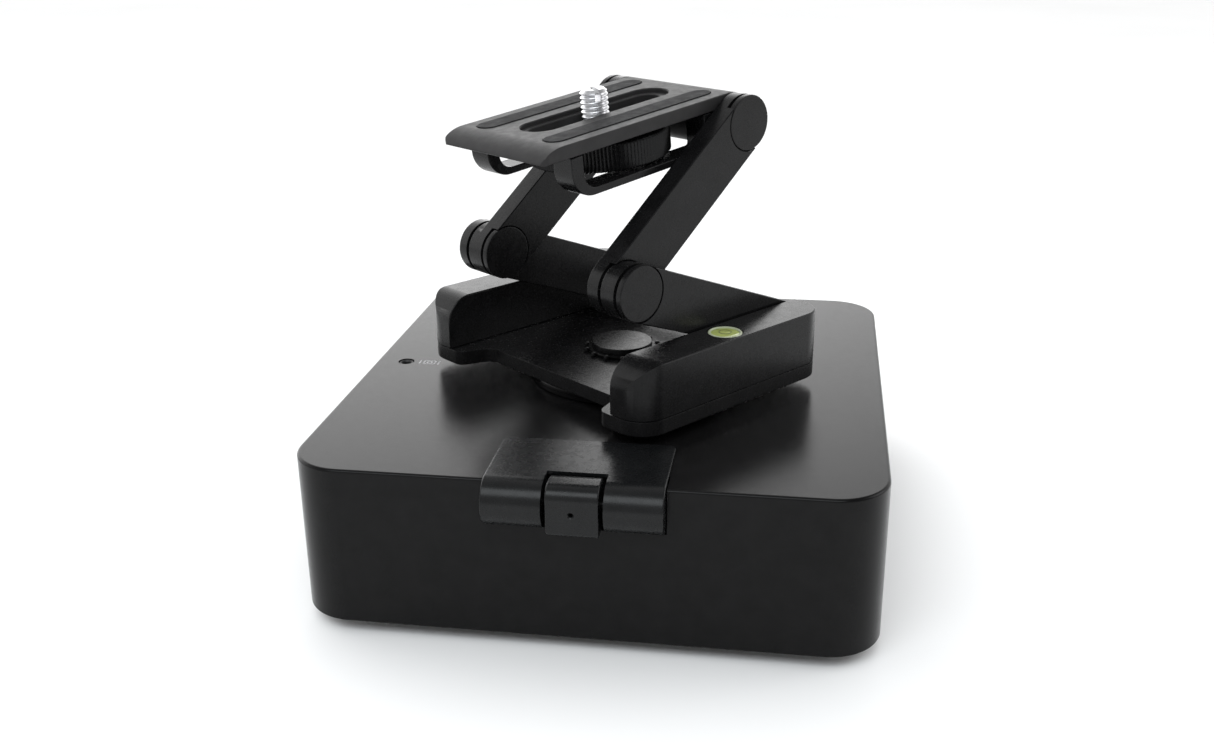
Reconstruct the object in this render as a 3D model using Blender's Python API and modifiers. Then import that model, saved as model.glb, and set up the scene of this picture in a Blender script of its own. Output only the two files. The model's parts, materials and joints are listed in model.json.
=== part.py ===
"""Camera slider: a motorised table-top dolly box with a panning, folding Z-arm camera head.

The box frame has its origin at the middle of the box, on its underside. The head frame turns with the pan
axis: +X runs along the arm pivots and +Y towards the rear of the head. Everything is in metres, +Z up.
"""

import math

import bmesh
import bpy
from mathutils import Matrix, Vector

# Clearance that neighbouring pieces keep
GAP = 0.0003

# Box
BODY_WIDTH = 0.188
BODY_DEPTH = 0.1927
BODY_HEIGHT = 0.0539
BODY_CORNER = 0.0177
BODY_CHAMFER = 0.00105
BODY_WALL = 0.003
RIDE_HEIGHT = 0.005
COVER_THICKNESS = 0.003
BOSS_RADIUS = 0.004
BOSS_INSET = 0.0155
SCREW_SHANK = 0.0011
SCREW_HEAD = 0.0026

# Pan drive
HEAD_TURN = math.radians(-38.5)
TABLE_RADIUS = 0.0335
TABLE_BOTTOM = BODY_HEIGHT + GAP
TABLE_TOP = 0.0575
HUB_RADIUS = 0.009
HUB_BOTTOM = 0.036
BEARING_RADIUS = 0.015
BEARING_HEIGHT = 0.005
GEAR_MODULE = 0.0015
GEAR_TEETH = 36
PINION_TEETH = 12
GEAR_BOTTOM = 0.0385
GEAR_THICKNESS = 0.005
MOTOR_RADIUS = 0.013

# Head base
BASE_BOTTOM = TABLE_TOP + GAP
BASE_TOP = 0.063
BASE_HALF = 0.0580
BASE_FRONT = -0.046
BASE_REAR = 0.0447
BASE_CORNER = 0.010
NOTCH_HALF = 0.0358
NOTCH_DEPTH = 0.0117
WALL_INNER = 0.0431
WALL_TOP = 0.082
CLAMP_RADIUS = 0.0105
CLAMP_TOP = 0.0663
CLAMP_STEM = 0.00476
LEVEL_RADIUS = 0.0058
LEVEL_U = (WALL_INNER + BASE_HALF) / 2
LEVEL_DEPTH = 0.004

# Folding arms: pivots as (y, z) in the head frame
REAR_PIVOT = (0.0385, 0.0726)
MID_PIVOT = (-0.0308, 0.1000)
TOP_PIVOT = (0.0279, 0.1461)
ARM_HALF = 0.0094
CAP_RECESS = 0.0098
CAP_THICKNESS = 0.0022
CAP_NECK = 0.0075
PIN_RADIUS = 0.004
BORE_RADIUS = PIN_RADIUS + GAP
LOWER_INNER = 0.0348
LOWER_OUTER = 0.0424
UPPER_INNER = 0.0264
UPPER_OUTER = 0.0342
NEAR_SPLIT = (0.0316, 0.0328)
FAR_SPLIT = (0.0369, 0.0382)
CAP_FLOOR = 0.0034
PIN_ROOM = 0.0004
BLIND_WALL = 0.0010
REAR_SHAFT_HALF = 0.052

# Camera plate, in its own tilted frame with the top pivot at the origin
PLATE_TILT = math.radians(6.0)
PLATE_HALF = 0.0259
PLATE_TOP = 0.0095
PLATE_UNDER = 0.0050
PLATE_FRONT = -0.0843
NOSE_LENGTH = 0.009
NOSE_DROP = 0.0045
NOSE_STEPS = 8
PLATE_CORNER = 0.0025
STRIP_U = 0.0170
STRIP_HALF = 0.0040
STRIP_RANGE = (-0.0750, -0.0022)
STRIP_RECESS = 0.0010
RECESS_HALF = 0.00725
RECESS_RANGE = (-0.0697, -0.0068)
RECESS_DEPTH = 0.0015
SLOT_HALF = 0.0051
SLOT_RANGE = (-0.0672, -0.0100)
GUARD_INNER = 0.0170
GUARD_BOTTOM = -0.0090
GUARD_RAIL = 0.0024
GUARD_RANGE = (-0.0732, -0.0099)
GUARD_FRONT_POST = 0.0050
GUARD_REAR_POST = 0.0035

# Camera screw and its knob
SCREW_Y = -0.0389
SCREW_RADIUS = 0.00476
SCREW_TOP = PLATE_TOP + 0.0071
WASHER_RADIUS = 0.012
WASHER_THICKNESS = 0.0008
KNOB_RADIUS = 0.0247
KNOB_HEIGHT = 0.0098

# Pointer hinge on the front edge: a barrel whose top runs level into the leaf
BRACKET_RANGE = (-0.02865, 0.0273)
BARREL_RADIUS = 0.00805
BARREL_INSET = 0.00105
LEAF_THICKNESS = 0.0011
LEAF_TOP = BODY_HEIGHT + GAP + LEAF_THICKNESS
LEAF_REAR = -0.067
LEAF_CUT = 0.0057
POCKET_WALL = 0.002
POINTER_X = -0.00035
POINTER_HALF = 0.00815
POINTER_GAP = 0.0014
POINTER_PIN = 0.0012
POINTER_HOLE = (-0.00025, -0.00045)
PIN_INSET = 0.0045
BARREL_STEPS = 28
BARREL_Y = -BODY_DEPTH / 2 + BARREL_INSET
BARREL_Z = LEAF_TOP - BARREL_RADIUS
BARREL_REACH = BARREL_RADIUS - BARREL_INSET

# Drive wheels
WHEEL_PLACES = ((0.0, 0.060), (-0.054, -0.048), (0.054, -0.048))
WHEEL_RADIUS = 0.017
HUB_RIM = 0.0130
TYRE_HALF = 0.005
WHEEL_Z = WHEEL_RADIUS - RIDE_HEIGHT
YOKE_HALF = 0.0085
YOKE_ARM = 0.0018
YOKE_TOP = 0.0330
WHEEL_OPENING = 0.0208

# Sockets and button
JACK_PLACE = (-0.0826, 0.0)
JACK_COLLAR = 0.0027
JACK_BORE = 0.00175
BUTTON_PLACE = (0.052, 0.027)
BUTTON_RADIUS = 0.005
PORT_PLACE = (0.030, 0.027)

SPINS = {
    "X": Matrix(((0, 0, 1), (1, 0, 0), (0, 1, 0))).to_4x4(),
    "Y": Matrix(((0, 1, 0), (0, 0, 1), (1, 0, 0))).to_4x4(),
    "Z": Matrix.Identity(4),
}


def clear_scene():
    for obj in list(bpy.data.objects):
        bpy.data.objects.remove(obj)


def make_collection(name):
    group = bpy.data.collections.new(name)
    bpy.context.scene.collection.children.link(group)
    return group


clear_scene()
PARTS = make_collection("camera_slider")
CUTTERS = make_collection("cutters")


def finish_of(name, colour, roughness, metallic=0.0):
    material = bpy.data.materials.new(name)
    material.use_nodes = True
    shader = material.node_tree.nodes["Principled BSDF"]
    shader.inputs["Base Color"].default_value = (*colour, 1.0)
    shader.inputs["Roughness"].default_value = roughness
    shader.inputs["Metallic"].default_value = metallic
    return material


ANODISED = finish_of("black_anodised", (0.018, 0.018, 0.019), 0.38, 0.6)
RUBBER = finish_of("black_rubber", (0.035, 0.035, 0.036), 0.75)
STEEL = finish_of("bright_steel", (0.62, 0.62, 0.64), 0.25, 1.0)
PLASTIC = finish_of("black_plastic", (0.02, 0.02, 0.021), 0.5)
BRASS = finish_of("brass", (0.60, 0.45, 0.18), 0.35, 1.0)
BOARD = finish_of("circuit_board", (0.02, 0.10, 0.05), 0.5)
CELL = finish_of("battery_wrap", (0.05, 0.08, 0.22), 0.4)
LIQUID = finish_of("level_liquid", (0.35, 0.48, 0.08), 0.15)
LENS = finish_of("pointer_lens", (0.05, 0.01, 0.01), 0.1)


def make_empty(name, parent=None, location=(0, 0, 0), rotation=(0, 0, 0)):
    obj = bpy.data.objects.new(name, None)
    obj.parent = parent
    obj.location = location
    obj.rotation_euler = rotation
    PARTS.objects.link(obj)
    return obj


def mesh_of(bm, name, spin="Z"):
    bmesh.ops.transform(bm, matrix=SPINS[spin], verts=bm.verts)
    mesh = bpy.data.meshes.new(name)
    bm.to_mesh(mesh)
    bm.free()
    return mesh


def box_mesh(name, low, high):
    bm = bmesh.new()
    bmesh.ops.create_cube(bm, size=1.0)
    low = Vector(low)
    high = Vector(high)
    bmesh.ops.scale(bm, vec=high - low, verts=bm.verts)
    bmesh.ops.translate(bm, vec=(high + low) / 2, verts=bm.verts)
    return mesh_of(bm, name)


def rod_mesh(name, radius, low, high, centre=(0, 0), spin="Z", sides=24):
    """A cylinder from low to high along its axis; centre is in the two directions that follow the axis."""
    bm = bmesh.new()
    bmesh.ops.create_cone(bm, cap_ends=True, segments=sides, radius1=radius, radius2=radius, depth=high - low)
    bmesh.ops.translate(bm, vec=(centre[0], centre[1], (high + low) / 2), verts=bm.verts)
    mesh = mesh_of(bm, name, spin)
    mesh.shade_smooth()
    mesh.set_sharp_from_angle(angle=math.radians(40))
    return mesh


def fillet(corners, steps=6):
    """Outline points from (x, y, radius) corners: each corner becomes an arc tangent to its two sides."""
    points = []
    count = len(corners)
    for i, (x, y, radius) in enumerate(corners):
        here = Vector((x, y))
        if radius <= 0:
            points.append(here)
            continue
        back = (Vector(corners[i - 1][:2]) - here).normalized()
        ahead = (Vector(corners[(i + 1) % count][:2]) - here).normalized()
        half = back.angle(ahead) / 2
        middle = here + (back + ahead).normalized() * (radius / math.sin(half))
        start = here + back * (radius / math.tan(half)) - middle
        end = here + ahead * (radius / math.tan(half)) - middle
        sweep = start.angle_signed(end)
        for k in range(steps + 1):
            points.append(middle + Matrix.Rotation(-sweep * k / steps, 2) @ start)
    return points


def outline_mesh(name, points, low, high, spin="Z", hole=None):
    """A flat outline as a filled 2D curve, extruded from low to high; hole is the radius of a centre bore."""
    curve = bpy.data.curves.new(name, "CURVE")
    curve.dimensions = "2D"
    curve.fill_mode = "BOTH"
    curve.extrude = (high - low) / 2
    loops = [points]
    if hole:
        loops.append([(hole * math.cos(a * math.pi / 12), hole * math.sin(a * math.pi / 12)) for a in range(24)])
    for loop in loops:
        spline = curve.splines.new("POLY")
        spline.points.add(len(loop) - 1)
        for place, (x, y) in zip(spline.points, loop):
            place.co = (x, y, 0, 1)
        spline.use_cyclic_u = True
    holder = bpy.data.objects.new(name, curve)
    bpy.context.scene.collection.objects.link(holder)
    graph = bpy.context.evaluated_depsgraph_get()
    mesh = bpy.data.meshes.new_from_object(holder.evaluated_get(graph))
    bpy.data.objects.remove(holder)
    bm = bmesh.new()
    bm.from_mesh(mesh)
    bpy.data.meshes.remove(mesh)
    bmesh.ops.remove_doubles(bm, verts=bm.verts, dist=0.000005)
    bmesh.ops.dissolve_limit(bm, angle_limit=math.radians(1), verts=bm.verts, edges=bm.edges)
    bmesh.ops.translate(bm, vec=(0, 0, (high + low) / 2), verts=bm.verts)
    bmesh.ops.recalc_face_normals(bm, faces=bm.faces)
    mesh = mesh_of(bm, name, spin)
    mesh.shade_smooth()
    mesh.set_sharp_from_angle(angle=math.radians(35))
    return mesh


def profile_mesh(name, profile, spin="Z", closed=False):
    """The edge profile of a turned piece, as (radius, height) points that run down its outer side."""
    bm = bmesh.new()
    corners = [bm.verts.new((radius, 0, height)) for radius, height in profile]
    for here, after in zip(corners, corners[1:]):
        bm.edges.new((here, after))
    if closed:
        bm.edges.new((corners[-1], corners[0]))
    return mesh_of(bm, name, spin)


def make_piece(name, mesh, material=None, parent=None, location=(0, 0, 0), rotation=(0, 0, 0), group=None):
    obj = bpy.data.objects.new(name, mesh)
    obj.parent = parent
    obj.location = location
    obj.rotation_euler = rotation
    (group or PARTS).objects.link(obj)
    if material:
        mesh.materials.append(material)
    return obj


def turn(obj, spin="Z", sides=24):
    """Turn a profile about its axis with a Screw modifier."""
    screw = obj.modifiers.new("turned", "SCREW")
    screw.axis = spin
    screw.steps = sides
    screw.render_steps = sides
    screw.use_merge_vertices = True
    screw.merge_threshold = 0.00001
    screw.use_smooth_shade = False
    return obj


def combine(obj, mesh, operation="DIFFERENCE", location=(0, 0, 0), rotation=(0, 0, 0)):
    """Cut or join a mesh that is given in the same parent frame as the object."""
    other = make_piece(obj.name + "_" + mesh.name, mesh, None, obj.parent, location, rotation, CUTTERS)
    other.hide_render = True
    other.display_type = "WIRE"
    step = obj.modifiers.new(mesh.name, "BOOLEAN")
    step.operation = operation
    step.object = other
    return obj


def soften(obj, width, segments=2, angle=40):
    """Round the edges of a piece before it is cut."""
    bevel = obj.modifiers.new("soft_edges", "BEVEL")
    bevel.width = width
    bevel.segments = segments
    bevel.limit_method = "ANGLE"
    bevel.angle_limit = math.radians(angle)
    return obj


def rectangle(width, depth, radius, centre=(0, 0)):
    x, y = centre
    return fillet([(x - width / 2, y - depth / 2, radius), (x + width / 2, y - depth / 2, radius),
                   (x + width / 2, y + depth / 2, radius), (x - width / 2, y + depth / 2, radius)])


def stadium(start, end, radius, steps=10):
    """A bar outline with a half circle round each of its two ends."""
    start = Vector(start)
    end = Vector(end)
    along = (end - start).normalized()
    points = []
    for centre, side in ((start, 1), (end, -1)):
        for k in range(steps + 1):
            turned = Matrix.Rotation(math.pi / 2 + math.pi * k / steps, 2) @ (along * side)
            points.append(centre + turned * radius)
    return points


def gear_points(teeth, module, first_angle):
    """A plain toothed outline; the teeth are a little thin, so that meshed gears run with backlash."""
    pitch = teeth * module / 2
    widths = ((pitch - 1.15 * module, 0.42), (pitch + 0.8 * module, 0.17))
    points = []
    for tooth in range(teeth):
        middle = first_angle + 2 * math.pi * tooth / teeth
        for radius, part in (widths[0], widths[1]):
            angle = middle - part * 2 * math.pi / teeth / 1.25
            points.append((radius * math.cos(angle), radius * math.sin(angle)))
        for radius, part in (widths[1], widths[0]):
            angle = middle + part * 2 * math.pi / teeth / 1.25
            points.append((radius * math.cos(angle), radius * math.sin(angle)))
    return points


# ---- frames ----

ROOT = make_empty("box_frame", None, (0, BARREL_REACH / 2, RIDE_HEIGHT))
PAN = make_empty("pan_axis", ROOT, (0, 0, 0), (0, 0, HEAD_TURN))
LOWER = make_empty("lower_arm_axis", PAN, (0, *REAR_PIVOT))
UPPER = make_empty("upper_arm_axis", PAN, (0, *MID_PIVOT))
PLATE = make_empty("plate_axis", PAN, (0, *TOP_PIVOT), (PLATE_TILT, 0, 0))
CARRIAGE = make_empty("camera_screw_axis", PLATE, (0, SCREW_Y, 0))
POINTER = make_empty("pointer_axis", ROOT, (POINTER_X, BARREL_Y, BARREL_Z))


# ---- box ----

def body_shell():
    height = BODY_HEIGHT
    mesh = outline_mesh("shell", rectangle(BODY_WIDTH, BODY_DEPTH, BODY_CORNER), 0, height)
    weights = mesh.attributes.new("bevel_weight_edge", "FLOAT", "EDGE")
    for edge, weight in zip(mesh.edges, weights.data):
        ends = [mesh.vertices[v].co.z for v in edge.vertices]
        weight.value = 1.0 if min(ends) > height - GAP else 0.0
    shell = make_piece("body_shell", mesh, ANODISED, ROOT)
    bevel = shell.modifiers.new("top_chamfer", "BEVEL")
    bevel.width = BODY_CHAMFER
    bevel.segments = 2
    bevel.limit_method = "WEIGHT"
    inside = rectangle(BODY_WIDTH - 2 * BODY_WALL, BODY_DEPTH - 2 * BODY_WALL, BODY_CORNER - BODY_WALL)
    combine(shell, outline_mesh("hollow", inside, -BODY_WALL, height - BODY_WALL))
    for i, (x, y) in enumerate(boss_places()):
        boss = rod_mesh(f"boss_{i}", BOSS_RADIUS, COVER_THICKNESS + GAP, height - BODY_WALL / 2, (x, y), sides=16)
        combine(shell, boss, "UNION")
        pilot = rod_mesh(f"pilot_{i}", SCREW_SHANK + GAP, 0, 0.014, (x, y), sides=12)
        combine(shell, pilot)
    pointer_pocket(shell)
    combine(shell, rod_mesh("hub_hole", HUB_RADIUS + 2 * GAP, height - 2 * BODY_WALL, height + BODY_WALL))
    combine(shell, rod_mesh("jack_hole", JACK_COLLAR + GAP, height - 2 * BODY_WALL, height + BODY_WALL,
                            JACK_PLACE, sides=24))
    rear = BODY_DEPTH / 2
    x, z = BUTTON_PLACE
    combine(shell, rod_mesh("button_hole", BUTTON_RADIUS + GAP, rear - 2 * BODY_WALL, rear + BODY_WALL,
                            (z, x), "Y", 24))
    x, z = PORT_PLACE
    combine(shell, outline_mesh("port_hole", rectangle(0.0036, 0.0096, 0.0017, (z, x)),
                                rear - 2 * BODY_WALL, rear + BODY_WALL, "Y"))
    return shell


def pointer_pocket(shell):
    """A closed pocket in the front top edge, which takes the rear of the pointer's hinge barrel."""
    low = Vector((BRACKET_RANGE[0] - GAP, -BODY_DEPTH, BARREL_Z - BARREL_RADIUS - GAP))
    high = Vector((BRACKET_RANGE[1] + GAP, BARREL_Y + BARREL_RADIUS + GAP, BODY_HEIGHT * 2))
    front = -BODY_DEPTH / 2 + BODY_WALL / 2
    top = BODY_HEIGHT - BODY_WALL / 2
    start = (low.x - POCKET_WALL, front, low.z - POCKET_WALL)
    lining = box_mesh("pocket_lining", start, (high.x + POCKET_WALL, high.y + POCKET_WALL, top))
    combine(shell, lining, "UNION")
    combine(shell, box_mesh("pocket", low, high))


def boss_places():
    x = BODY_WIDTH / 2 - BOSS_INSET
    y = BODY_DEPTH / 2 - BOSS_INSET
    return [(-x, -y), (x, -y), (x, y), (-x, y)]


def bottom_cover():
    margin = BODY_WALL + GAP
    points = rectangle(BODY_WIDTH - 2 * margin, BODY_DEPTH - 2 * margin, BODY_CORNER - margin)
    cover = make_piece("bottom_cover", outline_mesh("plate", points, 0, COVER_THICKNESS), PLASTIC, ROOT)
    for i, place in enumerate(WHEEL_PLACES):
        combine(cover, rod_mesh(f"wheel_opening_{i}", WHEEL_OPENING, -0.01, 0.01, place, sides=32))
    for i, place in enumerate(boss_places()):
        combine(cover, rod_mesh(f"screw_hole_{i}", SCREW_SHANK + 2 * GAP, -0.01, 0.01, place, sides=12))
        combine(cover, rod_mesh(f"head_pocket_{i}", SCREW_HEAD + GAP, -0.01, 0.0018, place, sides=16))
        name = f"cover_screw_{i + 1}"
        profile = [(0, 0.0118), (SCREW_SHANK, 0.0118), (SCREW_SHANK, 0.0015), (SCREW_HEAD, 0.0015),
                   (SCREW_HEAD, 0.0005), (SCREW_HEAD - 0.0005, 0.0002), (0, 0.0002)]
        turn(make_piece(name, profile_mesh(name, profile), STEEL, ROOT, (*place, 0)), sides=10)
    return cover


def battery_and_board():
    pack = make_piece("battery_pack", box_mesh("battery_pack", (-0.086, 0.032, 0.0033), (-0.026, 0.074, 0.0250)),
                      CELL, ROOT)
    soften(pack, 0.002)
    board = make_piece("main_board", box_mesh("main_board", (0.026, 0.012, 0.0200), (0.086, 0.066, 0.0216)),
                       BOARD, ROOT)
    chips = (((0.034, 0.020), 0.012), ((0.056, 0.030), 0.016), ((0.064, 0.052), 0.008), ((0.040, 0.046), 0.010))
    for i, ((x, y), side) in enumerate(chips):
        chip = box_mesh(f"chip_{i}", (x, y, 0.0210), (x + side, y + side, 0.0236))
        combine(board, chip, "UNION")
    for i, place in enumerate(((0.030, 0.016), (0.082, 0.016), (0.082, 0.062), (0.030, 0.062))):
        combine(board, rod_mesh(f"post_{i}", 0.002, COVER_THICKNESS + GAP, 0.0208, place, sides=12), "UNION")


def pan_drive():
    reach = GEAR_MODULE * (GEAR_TEETH + PINION_TEETH) / 2
    motor = make_piece("pan_motor", rod_mesh("can", MOTOR_RADIUS, COVER_THICKNESS + GAP, 0.0370, (0, -reach)),
                       STEEL, ROOT)
    combine(motor, rod_mesh("shaft", 0.0015, 0.036, 0.0450, (0, -reach), sides=16), "UNION")
    bearing = [(BEARING_RADIUS, 0), (BEARING_RADIUS, -BEARING_HEIGHT),
               (HUB_RADIUS + GAP, -BEARING_HEIGHT), (HUB_RADIUS + GAP, 0)]
    turn(make_piece("pan_bearing", profile_mesh("pan_bearing", bearing, closed=True), STEEL, ROOT,
                    (0, 0, BODY_HEIGHT - BODY_WALL - GAP)))
    pinion_frame = make_empty("pinion_axis", ROOT, (0, -reach, 0))
    teeth = gear_points(PINION_TEETH, GEAR_MODULE, math.pi / 2 + math.pi / PINION_TEETH)
    make_piece("pan_pinion", outline_mesh("pan_pinion", teeth, GEAR_BOTTOM, GEAR_BOTTOM + GEAR_THICKNESS,
                                          hole=0.0018), BRASS, pinion_frame)
    teeth = gear_points(GEAR_TEETH, GEAR_MODULE, -math.pi / 2 - HEAD_TURN)
    make_piece("pan_gear", outline_mesh("pan_gear", teeth, GEAR_BOTTOM, GEAR_BOTTOM + GEAR_THICKNESS,
                                        hole=HUB_RADIUS + GAP), BRASS, PAN)


def sockets_and_button():
    x, y = JACK_PLACE
    top = BODY_HEIGHT - BODY_WALL - GAP
    jack = make_piece("trigger_jack", box_mesh("case", (x - 0.0045, y - 0.0045, top - 0.010),
                                               (x + 0.0045, y + 0.0045, top)), PLASTIC, ROOT)
    combine(jack, rod_mesh("collar", JACK_COLLAR, top - 0.001, BODY_HEIGHT - GAP, JACK_PLACE, sides=24), "UNION")
    combine(jack, rod_mesh("bore", JACK_BORE, top - 0.008, BODY_HEIGHT + 0.001, JACK_PLACE, sides=24))
    rear = BODY_DEPTH / 2
    inner = rear - BODY_WALL - GAP
    x, z = PORT_PLACE
    port = make_piece("charge_port", box_mesh("case", (x - 0.0055, inner - 0.009, z - 0.0025),
                                              (x + 0.0055, inner, z + 0.0025)), STEEL, ROOT)
    combine(port, outline_mesh("shroud", rectangle(0.0030, 0.0090, 0.0014, (z, x)), inner - 0.002, rear - GAP, "Y"),
            "UNION")
    combine(port, outline_mesh("mouth", rectangle(0.0022, 0.0082, 0.0010, (z, x)), inner - 0.007, rear + 0.001, "Y"))
    x, z = BUTTON_PLACE
    frame = make_empty("button_axis", ROOT, (x, rear, z))
    button = [(0, -GAP), (BUTTON_RADIUS - 0.0006, -GAP), (BUTTON_RADIUS, -0.0009), (BUTTON_RADIUS, -0.0040),
              (BUTTON_RADIUS + 0.0012, -0.0040), (BUTTON_RADIUS + 0.0012, -0.0050), (0, -0.0050)]
    turn(make_piece("power_button", profile_mesh("power_button", button, "Y"), PLASTIC, frame), "Y", 20)


# ---- drive wheels ----

def wheel_unit(number, place):
    swivel = make_empty(f"steer_axis_{number}", ROOT, (*place, 0))
    axle = make_empty(f"wheel_axis_{number}", swivel, (0, 0, WHEEL_Z))
    servo = [(0, 0.0503), (0.0120, 0.0503), (0.0120, 0.0390), (0.0060, 0.0390), (0.0060, 0.0375), (0, 0.0375)]
    name = f"steering_motor_{number}"
    turn(make_piece(name, profile_mesh(name, servo), PLASTIC, ROOT, (*place, 0)), sides=16)
    name = f"wheel_fork_{number}"
    fork = make_piece(name, box_mesh("block", (-YOKE_HALF, -0.007, 0.0075), (YOKE_HALF, 0.007, YOKE_TOP)),
                      PLASTIC, swivel)
    inside = YOKE_HALF - YOKE_ARM
    combine(fork, box_mesh("gap", (-inside, -0.01, 0), (inside, 0.01, YOKE_TOP - 0.0025)))
    combine(fork, rod_mesh("stem", 0.0045, YOKE_TOP - 0.001, 0.0372, sides=20), "UNION")
    combine(fork, rod_mesh("bore", 0.0022, -0.02, 0.02, (0, WHEEL_Z), "X", 16))
    rim = HUB_RIM
    inner = inside - 2 * GAP
    hub = [(0, 0.0083), (0.0019, 0.0083), (0.0019, inner), (0.0045, inner), (0.0045, TYRE_HALF), (rim, TYRE_HALF)]
    hub += [(radius, -height) for radius, height in reversed(hub)]
    name = f"wheel_hub_{number}"
    turn(make_piece(name, profile_mesh(name, hub, "X"), PLASTIC, axle), "X", 16)
    tread = WHEEL_RADIUS
    tyre = [(rim + GAP, TYRE_HALF), (tread - 0.0012, TYRE_HALF), (tread, TYRE_HALF - 0.0020),
            (tread, 0.0020 - TYRE_HALF), (tread - 0.0012, -TYRE_HALF), (rim + GAP, -TYRE_HALF)]
    name = f"tyre_{number}"
    turn(make_piece(name, profile_mesh(name, tyre, "X", closed=True), RUBBER, axle), "X", 24)


# ---- pointer on the front edge ----

def pointer_bracket():
    under = LEAF_TOP - LEAF_THICKNESS
    start = math.asin((under - BARREL_Z) / BARREL_RADIUS)
    sweep = start + math.pi * 1.5
    side = [(LEAF_REAR, LEAF_TOP), (LEAF_REAR, under)]
    for k in range(BARREL_STEPS + 1):
        angle = start - sweep * k / BARREL_STEPS
        side.append((BARREL_Y + BARREL_RADIUS * math.cos(angle), BARREL_Z + BARREL_RADIUS * math.sin(angle)))
    left, right = BRACKET_RANGE
    mesh = outline_mesh("side", side, left - GAP, right + GAP, "X")
    bracket = make_piece("pointer_bracket", mesh, ANODISED, ROOT)
    plan = fillet([(left, -BODY_DEPTH, 0), (right, -BODY_DEPTH, 0), (right, LEAF_REAR, 0.0015),
                   (left, LEAF_REAR, 0.0015)], 4)
    combine(bracket, outline_mesh("plan", plan, 0, BODY_HEIGHT * 2), "INTERSECT")
    left = POINTER_X - POINTER_HALF - POINTER_GAP
    right = POINTER_X + POINTER_HALF + POINTER_GAP
    cut_rear = LEAF_CUT - BODY_DEPTH / 2
    combine(bracket, box_mesh("leaf_gap", (left, -BODY_DEPTH, 0), (right, cut_rear, BODY_HEIGHT * 2)))
    combine(bracket, box_mesh("barrel_gap", (left, -BODY_DEPTH, 0), (right, BARREL_Y + 2 * BARREL_RADIUS, under)))
    left = BRACKET_RANGE[0] + PIN_INSET
    right = BRACKET_RANGE[1] - PIN_INSET
    place = (BARREL_Y, BARREL_Z)
    combine(bracket, rod_mesh("pin_bore", POINTER_PIN + GAP, left - GAP, right + GAP, place, "X", 12))
    pin = rod_mesh("pointer_hinge_pin", POINTER_PIN, left, right, place, "X", 12)
    make_piece("pointer_hinge_pin", pin, STEEL, ROOT)
    return bracket


def pointer_block():
    """The tilting block: square with soft corners in front, round about the hinge axis at the rear."""
    radius = BARREL_RADIUS
    side = fillet([(0, radius, 0), (-radius, radius, 0.0048), (-radius, -radius, 0.0020), (0, -radius, 0)])
    for k in range(1, BARREL_STEPS // 2):
        angle = -math.pi / 2 + math.pi * k / (BARREL_STEPS // 2)
        side.append((radius * math.cos(angle), radius * math.sin(angle)))
    block = make_piece("pointer_block", outline_mesh("pointer_block", side, -POINTER_HALF, POINTER_HALF, "X"),
                       ANODISED, POINTER)
    combine(block, rod_mesh("pin_bore", POINTER_PIN + GAP, -0.02, 0.02, (0, 0), "X", 12))
    hole = (POINTER_HOLE[1], POINTER_HOLE[0])
    combine(block, rod_mesh("lens_bore", 0.0010, -0.02, -0.0036, hole, "Y", 12))
    make_piece("pointer_lens", rod_mesh("pointer_lens", 0.0007, -0.0056, -0.0039, hole, "Y", 12), LENS, POINTER)
    return block


# ---- panning head base ----

def turntable():
    table = [(0, TABLE_TOP), (TABLE_RADIUS - 0.0004, TABLE_TOP), (TABLE_RADIUS, TABLE_TOP - 0.0004),
             (TABLE_RADIUS, TABLE_BOTTOM), (HUB_RADIUS, TABLE_BOTTOM), (HUB_RADIUS, HUB_BOTTOM), (0, HUB_BOTTOM)]
    piece = turn(make_piece("pan_turntable", profile_mesh("pan_turntable", table), ANODISED, PAN), sides=36)
    combine(piece, rod_mesh("stem_hole", CLAMP_STEM + GAP, 0.0480, 0.0700, sides=24))


def base_points():
    rear = BASE_REAR
    front = BASE_FRONT
    back = front + NOTCH_DEPTH
    return fillet([(-BASE_HALF, front, BASE_CORNER), (-NOTCH_HALF - 0.0022, front, 0.0040),
                   (-NOTCH_HALF + 0.0022, back, 0.0050), (NOTCH_HALF - 0.0022, back, 0.0050),
                   (NOTCH_HALF + 0.0022, front, 0.0040), (BASE_HALF, front, BASE_CORNER),
                   (BASE_HALF, rear, BASE_CORNER), (-BASE_HALF, rear, BASE_CORNER)])


def head_base():
    base = make_piece("head_base", outline_mesh("base", base_points(), BASE_BOTTOM, BASE_TOP), ANODISED, PAN)
    combine(base, rod_mesh("stem_hole", CLAMP_STEM + GAP, BASE_BOTTOM - 0.01, BASE_TOP + 0.01, sides=24))
    knob = [(0, CLAMP_TOP), (CLAMP_RADIUS - 0.0006, CLAMP_TOP), (CLAMP_RADIUS, CLAMP_TOP - 0.0006),
            (CLAMP_RADIUS, BASE_TOP + GAP), (CLAMP_STEM, BASE_TOP + GAP), (CLAMP_STEM, 0.0485), (0, 0.0485)]
    turn(make_piece("clamp_knob", profile_mesh("clamp_knob", knob), ANODISED, PAN), sides=24)


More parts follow.
